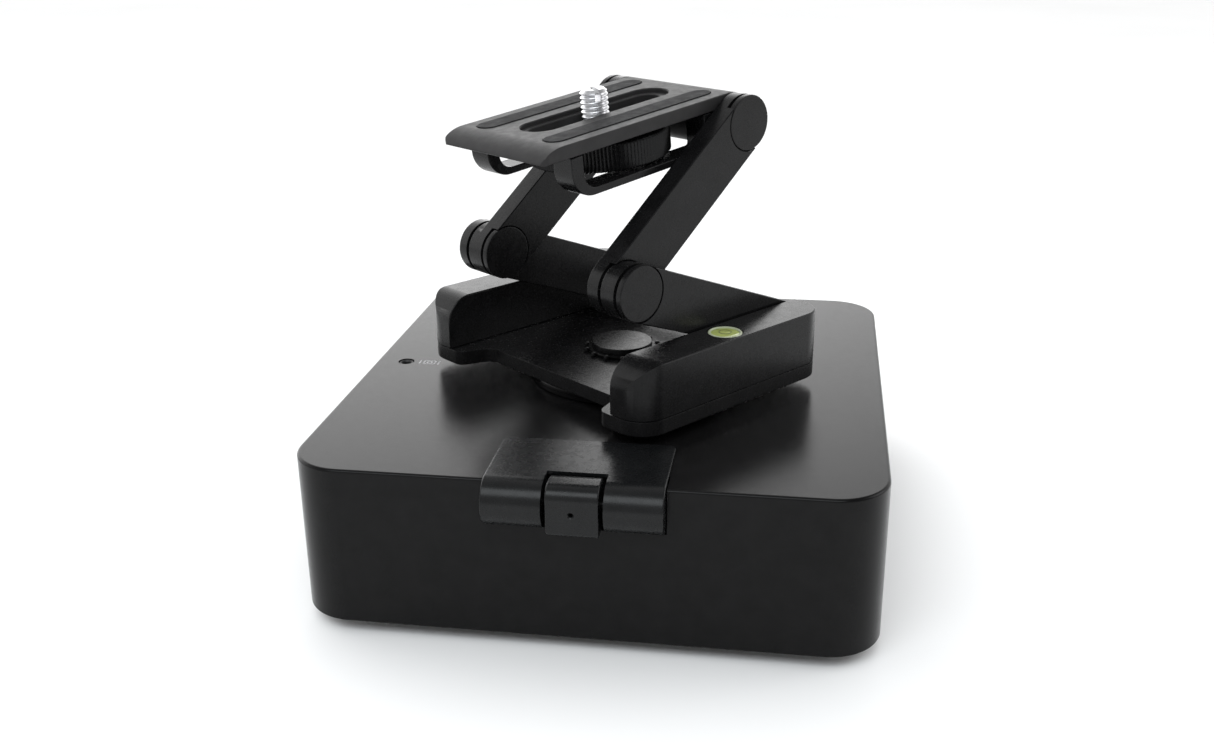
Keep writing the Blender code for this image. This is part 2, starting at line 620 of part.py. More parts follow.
def side_wall(name, side):
    """One raised side of the head base; side is +1 for the near wall and -1 for the far wall."""
    inner = side * WALL_INNER
    outer = side * BASE_HALF
    plan = fillet([(inner, BASE_FRONT, 0), (outer, BASE_FRONT, BASE_CORNER), (outer, BASE_REAR, BASE_CORNER),
                   (inner, BASE_REAR, 0)])
    wall = make_piece(name, outline_mesh("plan", plan, BASE_TOP + GAP, WALL_TOP), ANODISED, PAN)
    profile = fillet([(BASE_FRONT, 0, 0), (BASE_REAR, 0, 0), (BASE_REAR, WALL_TOP, 0.0004),
                      (BASE_FRONT, WALL_TOP, 0.0100)])
    combine(wall, outline_mesh("profile", profile, -0.07, 0.07, "X"), "INTERSECT")
    low, high = sorted((side * (WALL_INNER - 0.01), side * (REAR_SHAFT_HALF + GAP)))
    combine(wall, rod_mesh("pin_bore", BORE_RADIUS, low, high, REAR_PIVOT, "X", 16))
    return wall


def level_bubble(wall):
    combine(wall, rod_mesh("level_pocket", LEVEL_RADIUS + GAP, WALL_TOP - LEVEL_DEPTH - GAP, WALL_TOP + 0.01,
                           (LEVEL_U, 0)))
    level = [(0, WALL_TOP + 0.0001), (LEVEL_RADIUS - 0.0003, WALL_TOP + 0.0001), (LEVEL_RADIUS, WALL_TOP - 0.0002),
             (LEVEL_RADIUS, WALL_TOP - LEVEL_DEPTH), (0, WALL_TOP - LEVEL_DEPTH)]
    turn(make_piece("bubble_level", profile_mesh("bubble_level", level), LIQUID, PAN, (LEVEL_U, 0, 0)))


# ---- folding arms ----

def cap_disc(name, parent, place, outer, side):
    """A flush disc over a pivot, with a narrower neck behind it. It faces +X when side is +1."""
    face = outer * side
    back = face - CAP_THICKNESS
    rear = face - CAP_FLOOR + GAP
    disc = [(0, face), (ARM_HALF - 0.0004, face), (ARM_HALF, face - 0.0004), (ARM_HALF, back), (CAP_NECK, back),
            (CAP_NECK, rear), (0, rear)]
    if side < 0:
        disc = [(radius, -height) for radius, height in reversed(disc)]
    return turn(make_piece(name, profile_mesh(name, disc, "X"), ANODISED, parent, (0, *place)), "X", 20)


def between(a, b):
    return (b[0] - a[0], b[1] - a[1])


def lower_arms():
    mid = between(REAR_PIVOT, MID_PIVOT)
    bar = stadium((0, 0), mid, ARM_HALF)
    near = make_piece("lower_arm_near", outline_mesh("bar", bar, LOWER_INNER, LOWER_OUTER, "X"), ANODISED, LOWER)
    combine(near, rod_mesh("knuckle", ARM_HALF, NEAR_SPLIT[1], LOWER_OUTER - 0.004, mid, "X", 24), "UNION")
    combine(near, rod_mesh("cap_recess", CAP_RECESS, LOWER_OUTER - CAP_FLOOR, 0.05, mid, "X", 24))
    combine(near, rod_mesh("mid_bore", BORE_RADIUS, 0.02, 0.05, mid, "X", 16))
    combine(near, rod_mesh("rear_bore", BORE_RADIUS, 0.02, 0.05, (0, 0), "X", 16))
    cap_disc("lower_cap_near", LOWER, mid, LOWER_OUTER, 1)
    far = make_piece("lower_arm_far", outline_mesh("bar", bar, -LOWER_OUTER, -LOWER_INNER, "X"), ANODISED, LOWER)
    combine(far, rod_mesh("upper_room", CAP_RECESS, -FAR_SPLIT[1], -0.02, mid, "X", 24))
    combine(far, rod_mesh("mid_bore", BORE_RADIUS, BLIND_WALL - LOWER_OUTER, -0.02, mid, "X", 16))
    combine(far, rod_mesh("rear_bore", BORE_RADIUS, -0.05, -0.02, (0, 0), "X", 16))
    make_piece("rear_hinge_shaft", rod_mesh("rear_hinge_shaft", PIN_RADIUS, -REAR_SHAFT_HALF, REAR_SHAFT_HALF,
                                            (0, 0), "X", 16), STEEL, LOWER)
    inner = UPPER_INNER + BLIND_WALL + GAP
    outer = LOWER_OUTER - CAP_FLOOR - PIN_ROOM
    near_pin = make_piece("mid_pin_near", rod_mesh("pin", PIN_RADIUS, inner, outer, mid, "X", 16), STEEL, LOWER)
    combine(near_pin, rod_mesh("collar", CAP_NECK, NEAR_SPLIT[0] + GAP, NEAR_SPLIT[1] - GAP, mid, "X", 16), "UNION")
    inner = UPPER_INNER + CAP_FLOOR + PIN_ROOM
    outer = LOWER_OUTER - BLIND_WALL - GAP
    far_pin = make_piece("mid_pin_far", rod_mesh("pin", PIN_RADIUS, -outer, -inner, mid, "X", 16), STEEL, LOWER)
    combine(far_pin, rod_mesh("collar", CAP_NECK, -FAR_SPLIT[1] + GAP, -FAR_SPLIT[0] - GAP, mid, "X", 16), "UNION")


def upper_arms():
    top = between(MID_PIVOT, TOP_PIVOT)
    bar = stadium((0, 0), top, ARM_HALF)
    near = make_piece("upper_arm_near", outline_mesh("bar", bar, UPPER_INNER, UPPER_OUTER, "X"), ANODISED, UPPER)
    combine(near, rod_mesh("lower_room", CAP_RECESS, NEAR_SPLIT[0], 0.05, (0, 0), "X", 24))
    combine(near, rod_mesh("mid_bore", BORE_RADIUS, UPPER_INNER + BLIND_WALL, 0.05, (0, 0), "X", 16))
    far = make_piece("upper_arm_far", outline_mesh("bar", bar, -UPPER_OUTER, -UPPER_INNER, "X"), ANODISED, UPPER)
    combine(far, rod_mesh("knuckle", ARM_HALF, -FAR_SPLIT[0], -UPPER_INNER - 0.004, (0, 0), "X", 24), "UNION")
    combine(far, rod_mesh("cap_recess", CAP_RECESS, -UPPER_INNER - CAP_FLOOR, -0.02, (0, 0), "X", 24))
    combine(far, rod_mesh("mid_bore", BORE_RADIUS, -0.05, -0.02, (0, 0), "X", 16))
    cap_disc("mid_cap_far", UPPER, (0, 0), -UPPER_INNER, 1)
    for arm, side, name in ((near, 1, "top_cap_near"), (far, -1, "top_cap_far")):
        low, high = sorted((side * (UPPER_OUTER - CAP_FLOOR), side * 0.05))
        combine(arm, rod_mesh("top_recess", CAP_RECESS, low, high, top, "X", 24))
        low, high = sorted((side * 0.02, side * 0.05))
        combine(arm, rod_mesh("top_bore", BORE_RADIUS, low, high, top, "X", 16))
        cap = cap_disc(name, UPPER, top, UPPER_OUTER, 1)
        if side < 0:
            cap.rotation_euler = (0, 0, math.pi)
    end = UPPER_OUTER - CAP_FLOOR - PIN_ROOM
    make_piece("top_hinge_shaft", rod_mesh("top_hinge_shaft", PIN_RADIUS, -end, end, top, "X", 16), STEEL, UPPER)


# ---- camera plate ----

def top_plate():
    sweep = math.pi * 1.5 + math.asin(PLATE_UNDER / ARM_HALF)
    side = [(0, PLATE_TOP)]
    for k in range(BARREL_STEPS + 1):
        angle = math.pi / 2 - sweep * k / BARREL_STEPS
        side.append((ARM_HALF * math.cos(angle), ARM_HALF * math.sin(angle)))
    side.append((PLATE_FRONT, PLATE_UNDER))
    for k in range(NOSE_STEPS + 1):
        angle = math.pi / 2 * k / NOSE_STEPS
        y = PLATE_FRONT + NOSE_LENGTH * (1 - math.cos(angle))
        side.append((y, PLATE_TOP - NOSE_DROP * (1 - math.sin(angle))))
    plate = make_piece("top_plate", outline_mesh("side", side, -PLATE_HALF, PLATE_HALF, "X"), ANODISED, PLATE)
    plan = fillet([(-PLATE_HALF, PLATE_FRONT, PLATE_CORNER), (PLATE_HALF, PLATE_FRONT, PLATE_CORNER),
                   (PLATE_HALF, 0.02, 0), (-PLATE_HALF, 0.02, 0)])
    combine(plate, outline_mesh("plan", plan, -0.02, 0.02), "INTERSECT")
    combine(plate, rod_mesh("axle_bore", BORE_RADIUS, -0.03, 0.03, (0, 0), "X", 16))
    for name, side_of in (("near", 1), ("far", -1)):
        strip_slot = stadium((side_of * STRIP_U, STRIP_RANGE[0] + STRIP_HALF),
                             (side_of * STRIP_U, STRIP_RANGE[1] - STRIP_HALF), STRIP_HALF + GAP, 8)
        combine(plate, outline_mesh("strip_slot_" + name, strip_slot, PLATE_TOP - STRIP_RECESS, 0.02))
        strip = stadium((side_of * STRIP_U, STRIP_RANGE[0] + STRIP_HALF),
                        (side_of * STRIP_U, STRIP_RANGE[1] - STRIP_HALF), STRIP_HALF, 8)
        make_piece("rubber_strip_" + name, outline_mesh("strip", strip, PLATE_TOP - STRIP_RECESS + GAP,
                                                        PLATE_TOP + GAP), RUBBER, PLATE)
        guard_loop("plate_guard_" + name, side_of)
    for name, span, half, floor in (("recess", RECESS_RANGE, RECESS_HALF, PLATE_TOP - RECESS_DEPTH),
                                    ("slot", SLOT_RANGE, SLOT_HALF, -0.001)):
        points = stadium((0, span[0] + half), (0, span[1] - half), half)
        combine(plate, outline_mesh(name, points, floor, 0.02))


def guard_loop(name, side):
    """A side loop under the camera plate: two posts and a rail, bent from one flat bar."""
    top = PLATE_UNDER - GAP
    front, rear = GUARD_RANGE
    inner = GUARD_BOTTOM + GUARD_RAIL
    outside = [(front, top, 0), (front, GUARD_BOTTOM, 0.0087), (rear, GUARD_BOTTOM, 0.0020), (rear, top, 0),
               (rear - GUARD_REAR_POST, top, 0), (rear - GUARD_REAR_POST, inner, 0.0010),
               (front + GUARD_FRONT_POST, inner, 0.0050), (front + GUARD_FRONT_POST, top, 0)]
    low, high = sorted((side * GUARD_INNER, side * PLATE_HALF))
    make_piece(name, outline_mesh(name, fillet(outside), low, high, "X"), ANODISED, PLATE)


def camera_screw():
    under = PLATE_UNDER - GAP
    washer = [(WASHER_RADIUS, under), (WASHER_RADIUS, under - WASHER_THICKNESS),
              (SCREW_RADIUS + GAP, under - WASHER_THICKNESS), (SCREW_RADIUS + GAP, under)]
    turn(make_piece("slide_washer", profile_mesh("slide_washer", washer, closed=True), STEEL, CARRIAGE))
    top = under - WASHER_THICKNESS - GAP
    low = top - KNOB_HEIGHT
    knob = [(SCREW_RADIUS + GAP, top), (KNOB_RADIUS - 0.0006, top), (KNOB_RADIUS, top - 0.0006),
            (KNOB_RADIUS, low + 0.0006), (KNOB_RADIUS - 0.0006, low), (SCREW_RADIUS + GAP, low)]
    turn(make_piece("camera_knob", profile_mesh("camera_knob", knob, closed=True), ANODISED, CARRIAGE), sides=32)
    shank = [(0, SCREW_TOP), (SCREW_RADIUS - 0.0010, SCREW_TOP), (SCREW_RADIUS, SCREW_TOP - 0.0010),
             (SCREW_RADIUS, low + 0.0005), (0, low + 0.0005)]
    screw = turn(make_piece("camera_screw", profile_mesh("camera_screw", shank), STEEL, CARRIAGE), sides=24)
    combine(screw, box_mesh("driver_slot", (-0.0007, -0.01, SCREW_TOP - 0.0022), (0.0007, 0.01, SCREW_TOP + 0.001)))


body_shell()
bottom_cover()
battery_and_board()
pan_drive()
sockets_and_button()
for index, spot in enumerate(WHEEL_PLACES):
    wheel_unit(index + 1, spot)
pointer_bracket()
pointer_block()
turntable()
head_base()
near_wall = side_wall("side_wall_near", 1)
side_wall("side_wall_far", -1)
level_bubble(near_wall)
lower_arms()
upper_arms()
top_plate()
camera_screw()
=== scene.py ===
import json
import math

import bmesh
import bpy
from mathutils import Matrix, Vector


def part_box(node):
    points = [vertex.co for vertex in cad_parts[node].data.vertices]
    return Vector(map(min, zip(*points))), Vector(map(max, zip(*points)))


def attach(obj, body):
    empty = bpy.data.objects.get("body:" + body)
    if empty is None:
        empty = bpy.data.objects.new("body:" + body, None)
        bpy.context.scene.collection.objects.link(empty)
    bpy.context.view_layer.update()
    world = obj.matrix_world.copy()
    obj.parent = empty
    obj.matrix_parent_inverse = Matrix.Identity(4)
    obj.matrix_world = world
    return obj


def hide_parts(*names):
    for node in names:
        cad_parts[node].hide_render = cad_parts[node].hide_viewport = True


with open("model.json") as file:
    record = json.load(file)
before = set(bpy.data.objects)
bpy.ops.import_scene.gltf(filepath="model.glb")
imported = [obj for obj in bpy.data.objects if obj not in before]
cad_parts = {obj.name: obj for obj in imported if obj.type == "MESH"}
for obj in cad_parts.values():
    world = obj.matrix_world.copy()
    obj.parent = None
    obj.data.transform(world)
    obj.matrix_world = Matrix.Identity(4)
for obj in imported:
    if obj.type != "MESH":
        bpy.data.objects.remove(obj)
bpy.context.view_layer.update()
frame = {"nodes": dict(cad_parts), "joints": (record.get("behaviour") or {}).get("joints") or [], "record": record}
print("frame loaded:", len(frame["nodes"]), "parts")

joints = {joint["name"]: joint for joint in frame["joints"]}
shellLow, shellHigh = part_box("body_shell")
boxWidth, boxDepth, boxHeight = (shellHigh - shellLow) * 1000     # sizes below are in millimetres
boxCentre = Vector(((shellLow.x + shellHigh.x) / 2, (shellLow.y + shellHigh.y) / 2, shellLow.z))
upward = Vector((0, 0, 1))
across = Vector(joints["lower_arm_tilt"]["axis"])      # along the arm hinges, towards the near side
plateUp = Vector(joints["screw_turn"]["axis"])


def frameAt(origin, xAxis, zAxis):
    turned = Matrix((xAxis, zAxis.cross(xAxis), zAxis)).transposed().to_4x4()
    turned.translation = origin
    return turned


def pivot(name):
    return Vector(joints[name]["pos_m"])


panPlace = pivot("pan_turn")
panPlace.z = shellLow.z
boxFrame = Matrix.Translation(boxCentre)
headFrame = frameAt(panPlace, across, upward)
lowerFrame = frameAt(pivot("lower_arm_tilt"), across, upward)
upperFrame = frameAt(pivot("upper_arm_tilt"), across, upward)
plateFrame = frameAt(pivot("plate_tilt"), across, plateUp)
screwFrame = frameAt(pivot("screw_turn"), across, plateUp)
pointerFrame = Matrix.Translation(pivot("pointer_tilt"))
midInLower = (lowerFrame.inverted() @ pivot("upper_arm_tilt")) * 1000
topInUpper = (upperFrame.inverted() @ pivot("plate_tilt")) * 1000
midPlace = (midInLower.y, midInLower.z)
topPlace = (topInUpper.y, topInUpper.z)

spins = {
    "x": Matrix(((0, 0, 1), (1, 0, 0), (0, 1, 0))).to_4x4(),      # outline in y and z, thickness along x
    "y": Matrix(((0, 1, 0), (0, 0, 1), (1, 0, 0))).to_4x4(),
    "z": Matrix.Identity(4),
}


# shapes

def arcCorners(corners, steps=12):
    points = []
    for i, (x, y, radius) in enumerate(corners):      # each corner is x, y and its rounding
        here = Vector((x, y))
        if radius <= 0:
            points.append(here)
            continue
        back = (Vector(corners[i - 1][:2]) - here).normalized()
        ahead = (Vector(corners[(i + 1) % len(corners)][:2]) - here).normalized()
        half = back.angle(ahead) / 2
        middle = here + (back + ahead).normalized() * (radius / math.sin(half))
        start = here + back * (radius / math.tan(half)) - middle
        end = here + ahead * (radius / math.tan(half)) - middle
        sweep = start.angle_signed(end)
        for k in range(steps + 1):
            points.append(middle + Matrix.Rotation(-sweep * k / steps, 2) @ start)
    return points


def rectangle(width, depth, radius, centre=(0, 0), steps=12):
    x, y = centre
    left, right, front, rear = x - width / 2, x + width / 2, y - depth / 2, y + depth / 2
    corners = ((left, front), (right, front), (right, rear), (left, rear))
    return arcCorners([(*corner, radius) for corner in corners], steps)


def barOutline(start, end, radius, steps=24):
    start, end = Vector(start), Vector(end)
    along = (end - start).normalized()
    points = []
    for centre, side in ((start, 1), (end, -1)):
        for k in range(steps + 1):
            turned = Matrix.Rotation(math.pi / 2 + math.pi * k / steps, 2) @ (along * side)
            points.append(centre + turned * radius)
    return points


def circle(radius, centre=(0, 0), sides=64):
    return [Vector((centre[0] + radius * math.cos(2 * math.pi * k / sides),
                    centre[1] + radius * math.sin(2 * math.pi * k / sides))) for k in range(sides)]


def grown(outline, amount):
    area = sum(a.x * b.y - b.x * a.y for a, b in zip(outline, outline[1:] + outline[:1]))
    side = 1 if area > 0 else -1
    points = []
    for i, here in enumerate(outline):
        before = (here - outline[i - 1]).normalized()
        after = (outline[(i + 1) % len(outline)] - here).normalized()
        normal = Vector((before.y + after.y, -before.x - after.x)).normalized() * side
        lean = max(0.3, normal.dot(Vector((after.y, -after.x)) * side))
        points.append(here + normal * (amount / lean))
    return points


def skin(name, rings, spin="z", looped=False):
    bm = bmesh.new()
    rows = [[bm.verts.new(point) for point in ring] for ring in rings]
    count = len(rows[0])
    pairs = list(zip(rows, rows[1:]))
    if looped:
        pairs.append((rows[-1], rows[0]))
    for low, high in pairs:
        for k in range(count):
            bm.faces.new((low[k], low[(k + 1) % count], high[(k + 1) % count], high[k]))
    if not looped:
        bm.faces.new(rows[0][::-1])
        bm.faces.new(rows[-1])
    bmesh.ops.recalc_face_normals(bm, faces=bm.faces)
    bmesh.ops.transform(bm, matrix=spins[spin], verts=bm.verts)
    mesh = bpy.data.meshes.new(name)
    bm.to_mesh(mesh)
    bm.free()
    return mesh


def rimRows(level, side, width, steps):      # heights and insets of a rounded rim
    if not width:
        return [(level, 0.0)]
    angles = [math.pi / 2 * k / steps for k in range(steps + 1)]
    return [(level + side * width * (1 - math.cos(a)), width * (1 - math.sin(a))) for a in angles]


def slab(name, outline, low, high, edge=0.0, spin="z", steps=3, topEdge=None):      # an extruded outline
    topEdge = edge if topEdge is None else topEdge
    rings = []
    for height, inset in rimRows(low, 1, edge, steps) + rimRows(high, -1, topEdge, steps)[::-1]:
        ring = grown(outline, -inset) if inset else outline
        rings.append([(p.x, p.y, height) for p in ring])
    return skin(name, rings, spin)


def turned(name, profile, sides=72, spin="z", centre=(0, 0), looped=False):      # rows of radius and height
    rings = [[(centre[0] + radius * math.cos(2 * math.pi * k / sides),
               centre[1] + radius * math.sin(2 * math.pi * k / sides), height) for k in range(sides)]
             for radius, height in profile]
    return skin(name, rings, spin, looped)


def blockMesh(name, low, high):
    (left, front, floor), (right, rear, top) = low, high
    outline = [Vector(p) for p in ((left, front), (right, front), (right, rear), (left, rear))]
    return slab(name, outline, floor, top)


def newPiece(name, mesh):
    piece = bpy.data.objects.new(name, mesh)
    bpy.context.scene.collection.objects.link(piece)
    return piece


def settle(piece):      # apply what is on the piece so far
    graph = bpy.context.evaluated_depsgraph_get()
    mesh = bpy.data.meshes.new_from_object(piece.evaluated_get(graph))
    piece.modifiers.clear()
    piece.data = mesh


def carve(piece, *meshes, operation="DIFFERENCE"):
    tools = []
    for mesh in meshes:
        tool = newPiece("tool", mesh)
        step = piece.modifiers.new("tool", "BOOLEAN")
        step.operation = operation
        step.object = tool
        tools.append(tool)
    settle(piece)
    for tool in tools:
        bpy.data.objects.remove(tool)
    return piece


def fit(piece, place, body, finish, slotName, *nodes):
    piece.data.transform(place @ Matrix.Scale(0.001, 4))
    piece.data.materials.clear()
    piece.data.materials.append(finish)
    piece.data.shade_smooth()
    piece.data.set_sharp_from_angle(angle=math.radians(38))
    even = piece.modifiers.new("even_shading", "WEIGHTED_NORMAL")
    even.keep_sharp = True
    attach(piece, body)
    if nodes:
        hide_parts(*nodes)
    return piece


# finishes

class Finish:
    def __init__(self, name, colour, roughness, metallic=0.0, specular=0.5):
        self.material = bpy.data.materials.new(name)
        self.material.use_nodes = True
        self.tree = self.material.node_tree
        self.shader = self.tree.nodes["Principled BSDF"]
        self.shader.inputs["Base Color"].default_value = (*colour, 1)
        self.shader.inputs["Roughness"].default_value = roughness
        self.shader.inputs["Metallic"].default_value = metallic
        self.shader.inputs["Specular IOR Level"].default_value = specular
        self.place = self.tree.nodes.new("ShaderNodeTexCoord").outputs["Object"]

    def add(self, kind, **settings):
        node = self.tree.nodes.new("ShaderNode" + kind)
        for key, value in settings.items():
            if key in node.inputs:
                node.inputs[key].default_value = value
            else:
                setattr(node, key, value)
        return node

    def link(self, source, target):
        self.tree.links.new(source, target)

    def noise(self, scale, detail=3.0, stretch=(1, 1, 1)):
        mapping = self.add("Mapping")
        mapping.inputs["Scale"].default_value = stretch
        self.link(self.place, mapping.inputs["Vector"])
        node = self.add("TexNoise", Scale=scale, Detail=detail, Roughness=0.55)
        self.link(mapping.outputs["Vector"], node.inputs["Vector"])
        return node.outputs["Fac"]

    def spread(self, value, low, high):
        node = self.add("MapRange")
        node.inputs["From Min"].default_value = 0.3
        node.inputs["From Max"].default_value = 0.7
        node.inputs["To Min"].default_value = low
        node.inputs["To Max"].default_value = high
        self.link(value, node.inputs["Value"])
        return node.outputs["Result"]

    def colours(self, value, dark, light):
        ramp = self.add("ValToRGB")
        ramp.color_ramp.elements[0].position = 0.35
        ramp.color_ramp.elements[0].color = (*dark, 1)
        ramp.color_ramp.elements[1].position = 0.68
        ramp.color_ramp.elements[1].color = (*light, 1)
        self.link(value, ramp.inputs["Fac"])
        self.link(ramp.outputs["Color"], self.shader.inputs["Base Color"])

    def roughnessFrom(self, value, low, high):
        self.link(self.spread(value, low, high), self.shader.inputs["Roughness"])

    def bump(self, *layers):
        normal = None
        for value, depth in layers:      # depth in metres
            node = self.add("Bump", Strength=1.0, Distance=depth)
            self.link(value, node.inputs["Height"])
            if normal:
                self.link(normal, node.inputs["Normal"])
            normal = node.outputs["Normal"]
        self.link(normal, self.shader.inputs["Normal"])


def anodisedFinish(name, dark, light, rough, grain, gloss):
    finish = Finish(name, dark, rough[0], specular=gloss)
    fine = finish.noise(2300, 2.0)
    blast = finish.noise(5200, 1.0)
    finish.colours(finish.noise(140, 4.0), dark, light)
    finish.roughnessFrom(finish.noise(420, 3.0), *rough)
    finish.bump((fine, grain), (blast, grain * 0.6))
    return finish.material


def rubberFinish(name, dark, light, rough):
    finish = Finish(name, dark, rough[0], specular=0.12)
    finish.colours(finish.noise(900, 4.0), dark, light)
    finish.roughnessFrom(finish.noise(300, 2.0), *rough)
    finish.bump((finish.noise(3200, 2.0), 0.00003))
    return finish.material


def metalFinish(name, dark, light, rough, stretch=(1, 1, 1), scale=1500):
    finish = Finish(name, dark, rough[0], metallic=1.0)
    lines = finish.noise(scale, 3.0, stretch)
    finish.colours(finish.noise(260, 3.0), dark, light)
    finish.roughnessFrom(lines, *rough)
    finish.bump((lines, 0.000006))
    return finish.material


def plasticFinish(name, dark, light, rough, grainScale=2600, depth=0.00002):
    finish = Finish(name, dark, rough[0], specular=0.45)
    finish.colours(finish.noise(grainScale / 6, 4.0), dark, light)
    finish.roughnessFrom(finish.noise(grainScale / 4, 2.0), *rough)
    finish.bump((finish.noise(grainScale, 2.0), depth))
    return finish.material


def boardFinish():
    finish = Finish("solder mask", (0.015, 0.09, 0.04), 0.4)
    cells = finish.add("TexVoronoi", Scale=620.0)
    finish.link(finish.place, cells.inputs["Vector"])
    finish.colours(cells.outputs["Distance"], (0.05, 0.20, 0.09), (0.012, 0.075, 0.035))
    finish.roughnessFrom(finish.noise(500), 0.3, 0.5)
    finish.bump((cells.outputs["Distance"], 0.00004))
    return finish.material


def levelFinish():
    finish = Finish("level liquid", (0.30, 0.35, 0.09), 0.12)
    finish.shader.inputs["Coat Weight"].default_value = 0.6
    finish.colours(finish.noise(240, 2.0), (0.29, 0.34, 0.08), (0.37, 0.42, 0.13))
    finish.roughnessFrom(finish.noise(400), 0.08, 0.18)
    finish.bump((finish.noise(300), 0.00001))
    return finish.material


satinTop = anodisedFinish("satin black casing", (0.0042, 0.0041, 0.0042), (0.0062, 0.0060, 0.0062),
                          (0.17, 0.24), 0.000022, 0.13)
satinHead = anodisedFinish("satin black head", (0.0045, 0.0045, 0.0047), (0.0068, 0.0066, 0.0070),
                           (0.22, 0.31), 0.000010, 0.17)
plateTop = anodisedFinish("satin black plate", (0.0200, 0.0195, 0.0198), (0.0260, 0.0252, 0.0258),
                          (0.40, 0.50), 0.000014, 0.14)
blackPlastic = plasticFinish("moulded black", (0.010, 0.010, 0.0105), (0.016, 0.016, 0.0165), (0.42, 0.55))
hingeSatin = anodisedFinish("satin black hinge", (0.0045, 0.0048, 0.0052), (0.0066, 0.0070, 0.0074),
                            (0.24, 0.30), 0.000010, 0.24)
stripRubber = rubberFinish("strip rubber", (0.014, 0.014, 0.015), (0.020, 0.020, 0.021), (0.62, 0.78))
tyreRubber = rubberFinish("tyre rubber", (0.018, 0.018, 0.018), (0.030, 0.030, 0.030), (0.7, 0.85))
brightSteel = metalFinish("turned steel", (0.66, 0.66, 0.68), (0.80, 0.80, 0.81), (0.26, 0.38))
dullSteel = metalFinish("blackened steel", (0.02, 0.02, 0.021), (0.035, 0.035, 0.036), (0.35, 0.5))
brassCut = metalFinish("cut brass", (0.52, 0.37, 0.13), (0.66, 0.50, 0.20), (0.22, 0.40))
boardGreen = boardFinish()
cellWrap = plasticFinish("cell wrap", (0.03, 0.06, 0.20), (0.05, 0.09, 0.27), (0.25, 0.40), 900, 0.00003)
levelLiquid = levelFinish()
levelRim = plasticFinish("level rim", (0.30, 0.33, 0.22), (0.40, 0.43, 0.31), (0.30, 0.42))
inkGrey = plasticFinish("printed grey", (0.26, 0.26, 0.27), (0.34, 0.34, 0.35), (0.5, 0.6), 3000, 0.000005)
darkLens = plasticFinish("dark lens", (0.020, 0.004, 0.004), (0.035, 0.008, 0.008), (0.05, 0.12),
                         800, 0.000003)
print("finishes made")

nodeFinishes = {
    "black_anodised": satinHead,
    "black_rubber": tyreRubber,
    "bright_steel": brightSteel,
    "black_plastic": blackPlastic,
    "brass": brassCut,
    "circuit_board": boardGreen,
    "battery_wrap": cellWrap,
    "level_liquid": levelLiquid,
    "pointer_lens": darkLens,
}
for row in frame["record"]["subparts"]:
    node = frame["nodes"][row["node"]]
    node.data.materials.clear()
    node.data.materials.append(nodeFinishes[row["material_slot"]])


# casing

casing = {"corner": 17.7, "chamfer": 1.05, "wall": 3.0, "boss": 4.0, "bossInset": 15.5, "pilot": 1.4,
          "pilotDepth": 14, "hubHole": 9.6, "jack": (-82.6, 0.0), "jackHole": 3.0, "jackCase": 13.0,
          "button": (52.0, 27.0), "buttonHole": 5.3, "port": (30.0, 27.0), "coverGap": 3.3}
hinge = {"left": -28.65, "right": 27.3, "radius": 8.05, "inset": 1.05, "leaf": 1.1, "leafRear": -67.0,
         "gap": 0.3, "leafCut": 5.7, "leafCorner": 2.6, "blockX": -0.35, "blockHalf": 8.15, "blockGap": 1.4,
         "edge": 0.5, "pin": 1.2, "pinInset": 4.5, "pinGap": 0.3, "pinhole": (-0.25, -0.45)}
hingeTop = boxHeight + hinge["gap"] + hinge["leaf"]
hingeY = -boxDepth / 2 + hinge["inset"]
hingeZ = hingeTop - hinge["radius"]


def makeCasing():
    outline = rectangle(boxWidth, boxDepth, casing["corner"], steps=28)
    chamfer = casing["chamfer"]
    rows = [(0.0, 0.5), (0.15, 0.15), (0.5, 0.0)]
    for k in range(7):      # the top rim is a soft chamfer
        angle = math.pi / 2 * k / 6
        rows.append((boxHeight - chamfer * (1 - math.sin(angle)), chamfer * (1 - math.cos(angle))))
    rings = [[(p.x, p.y, height) for p in grown(outline, -inset)] for height, inset in rows]
    shell = newPiece("casing", skin("casing", rings))
    wall = casing["wall"]
    inside = rectangle(boxWidth - 2 * wall, boxDepth - 2 * wall, casing["corner"] - wall, steps=16)
    carve(shell, slab("hollow", inside, -wall, boxHeight - wall))
    x, y = boxWidth / 2 - casing["bossInset"], boxDepth / 2 - casing["bossInset"]
    posts = [slab("boss", circle(casing["boss"], (px, py), 32), casing["coverGap"], boxHeight - wall / 2)
             for px, py in ((-x, -y), (x, -y), (x, y), (-x, y))]
    left, right = hinge["left"] - hinge["gap"], hinge["right"] + hinge["gap"]
    rear, floor = hingeY + hinge["radius"] + hinge["gap"], hingeZ - hinge["radius"] - hinge["gap"]
    thick = 2.0      # metal left round the hinge's pocket
    lining = blockMesh("lining", (left - thick, -boxDepth / 2 + wall / 2, floor - thick),
                       (right + thick, rear + thick, boxHeight - wall / 2))
    carve(shell, *posts, lining, operation="UNION")
    rearFace = boxDepth / 2
    bx, bz = casing["button"]
    px, pz = casing["port"]
    pilots = [slab("pilot", circle(casing["pilot"], (sx * x, sy * y), 20), 0, casing["pilotDepth"])
              for sx in (-1, 1) for sy in (-1, 1)]
    roof = (boxHeight - 2 * wall, boxHeight + wall)      # through the top, and through the rear
    back = (rearFace - 2 * wall, rearFace + wall)
    carve(shell, *pilots,
          blockMesh("pocket", (left, -boxDepth, floor), (right, rear, boxHeight * 2)),
          slab("hub_hole", circle(casing["hubHole"]), *roof),
          slab("jack_hole", circle(casing["jackHole"], casing["jack"], 48), *roof),
          slab("button_hole", circle(casing["buttonHole"], (bz, bx)), *back, 0, "y"),
          slab("port_hole", rectangle(3.6, 9.6, 1.75, (pz, px)), *back, 0, "y"))
    return fit(shell, boxFrame, "box", satinTop, "black_anodised", "body_shell")


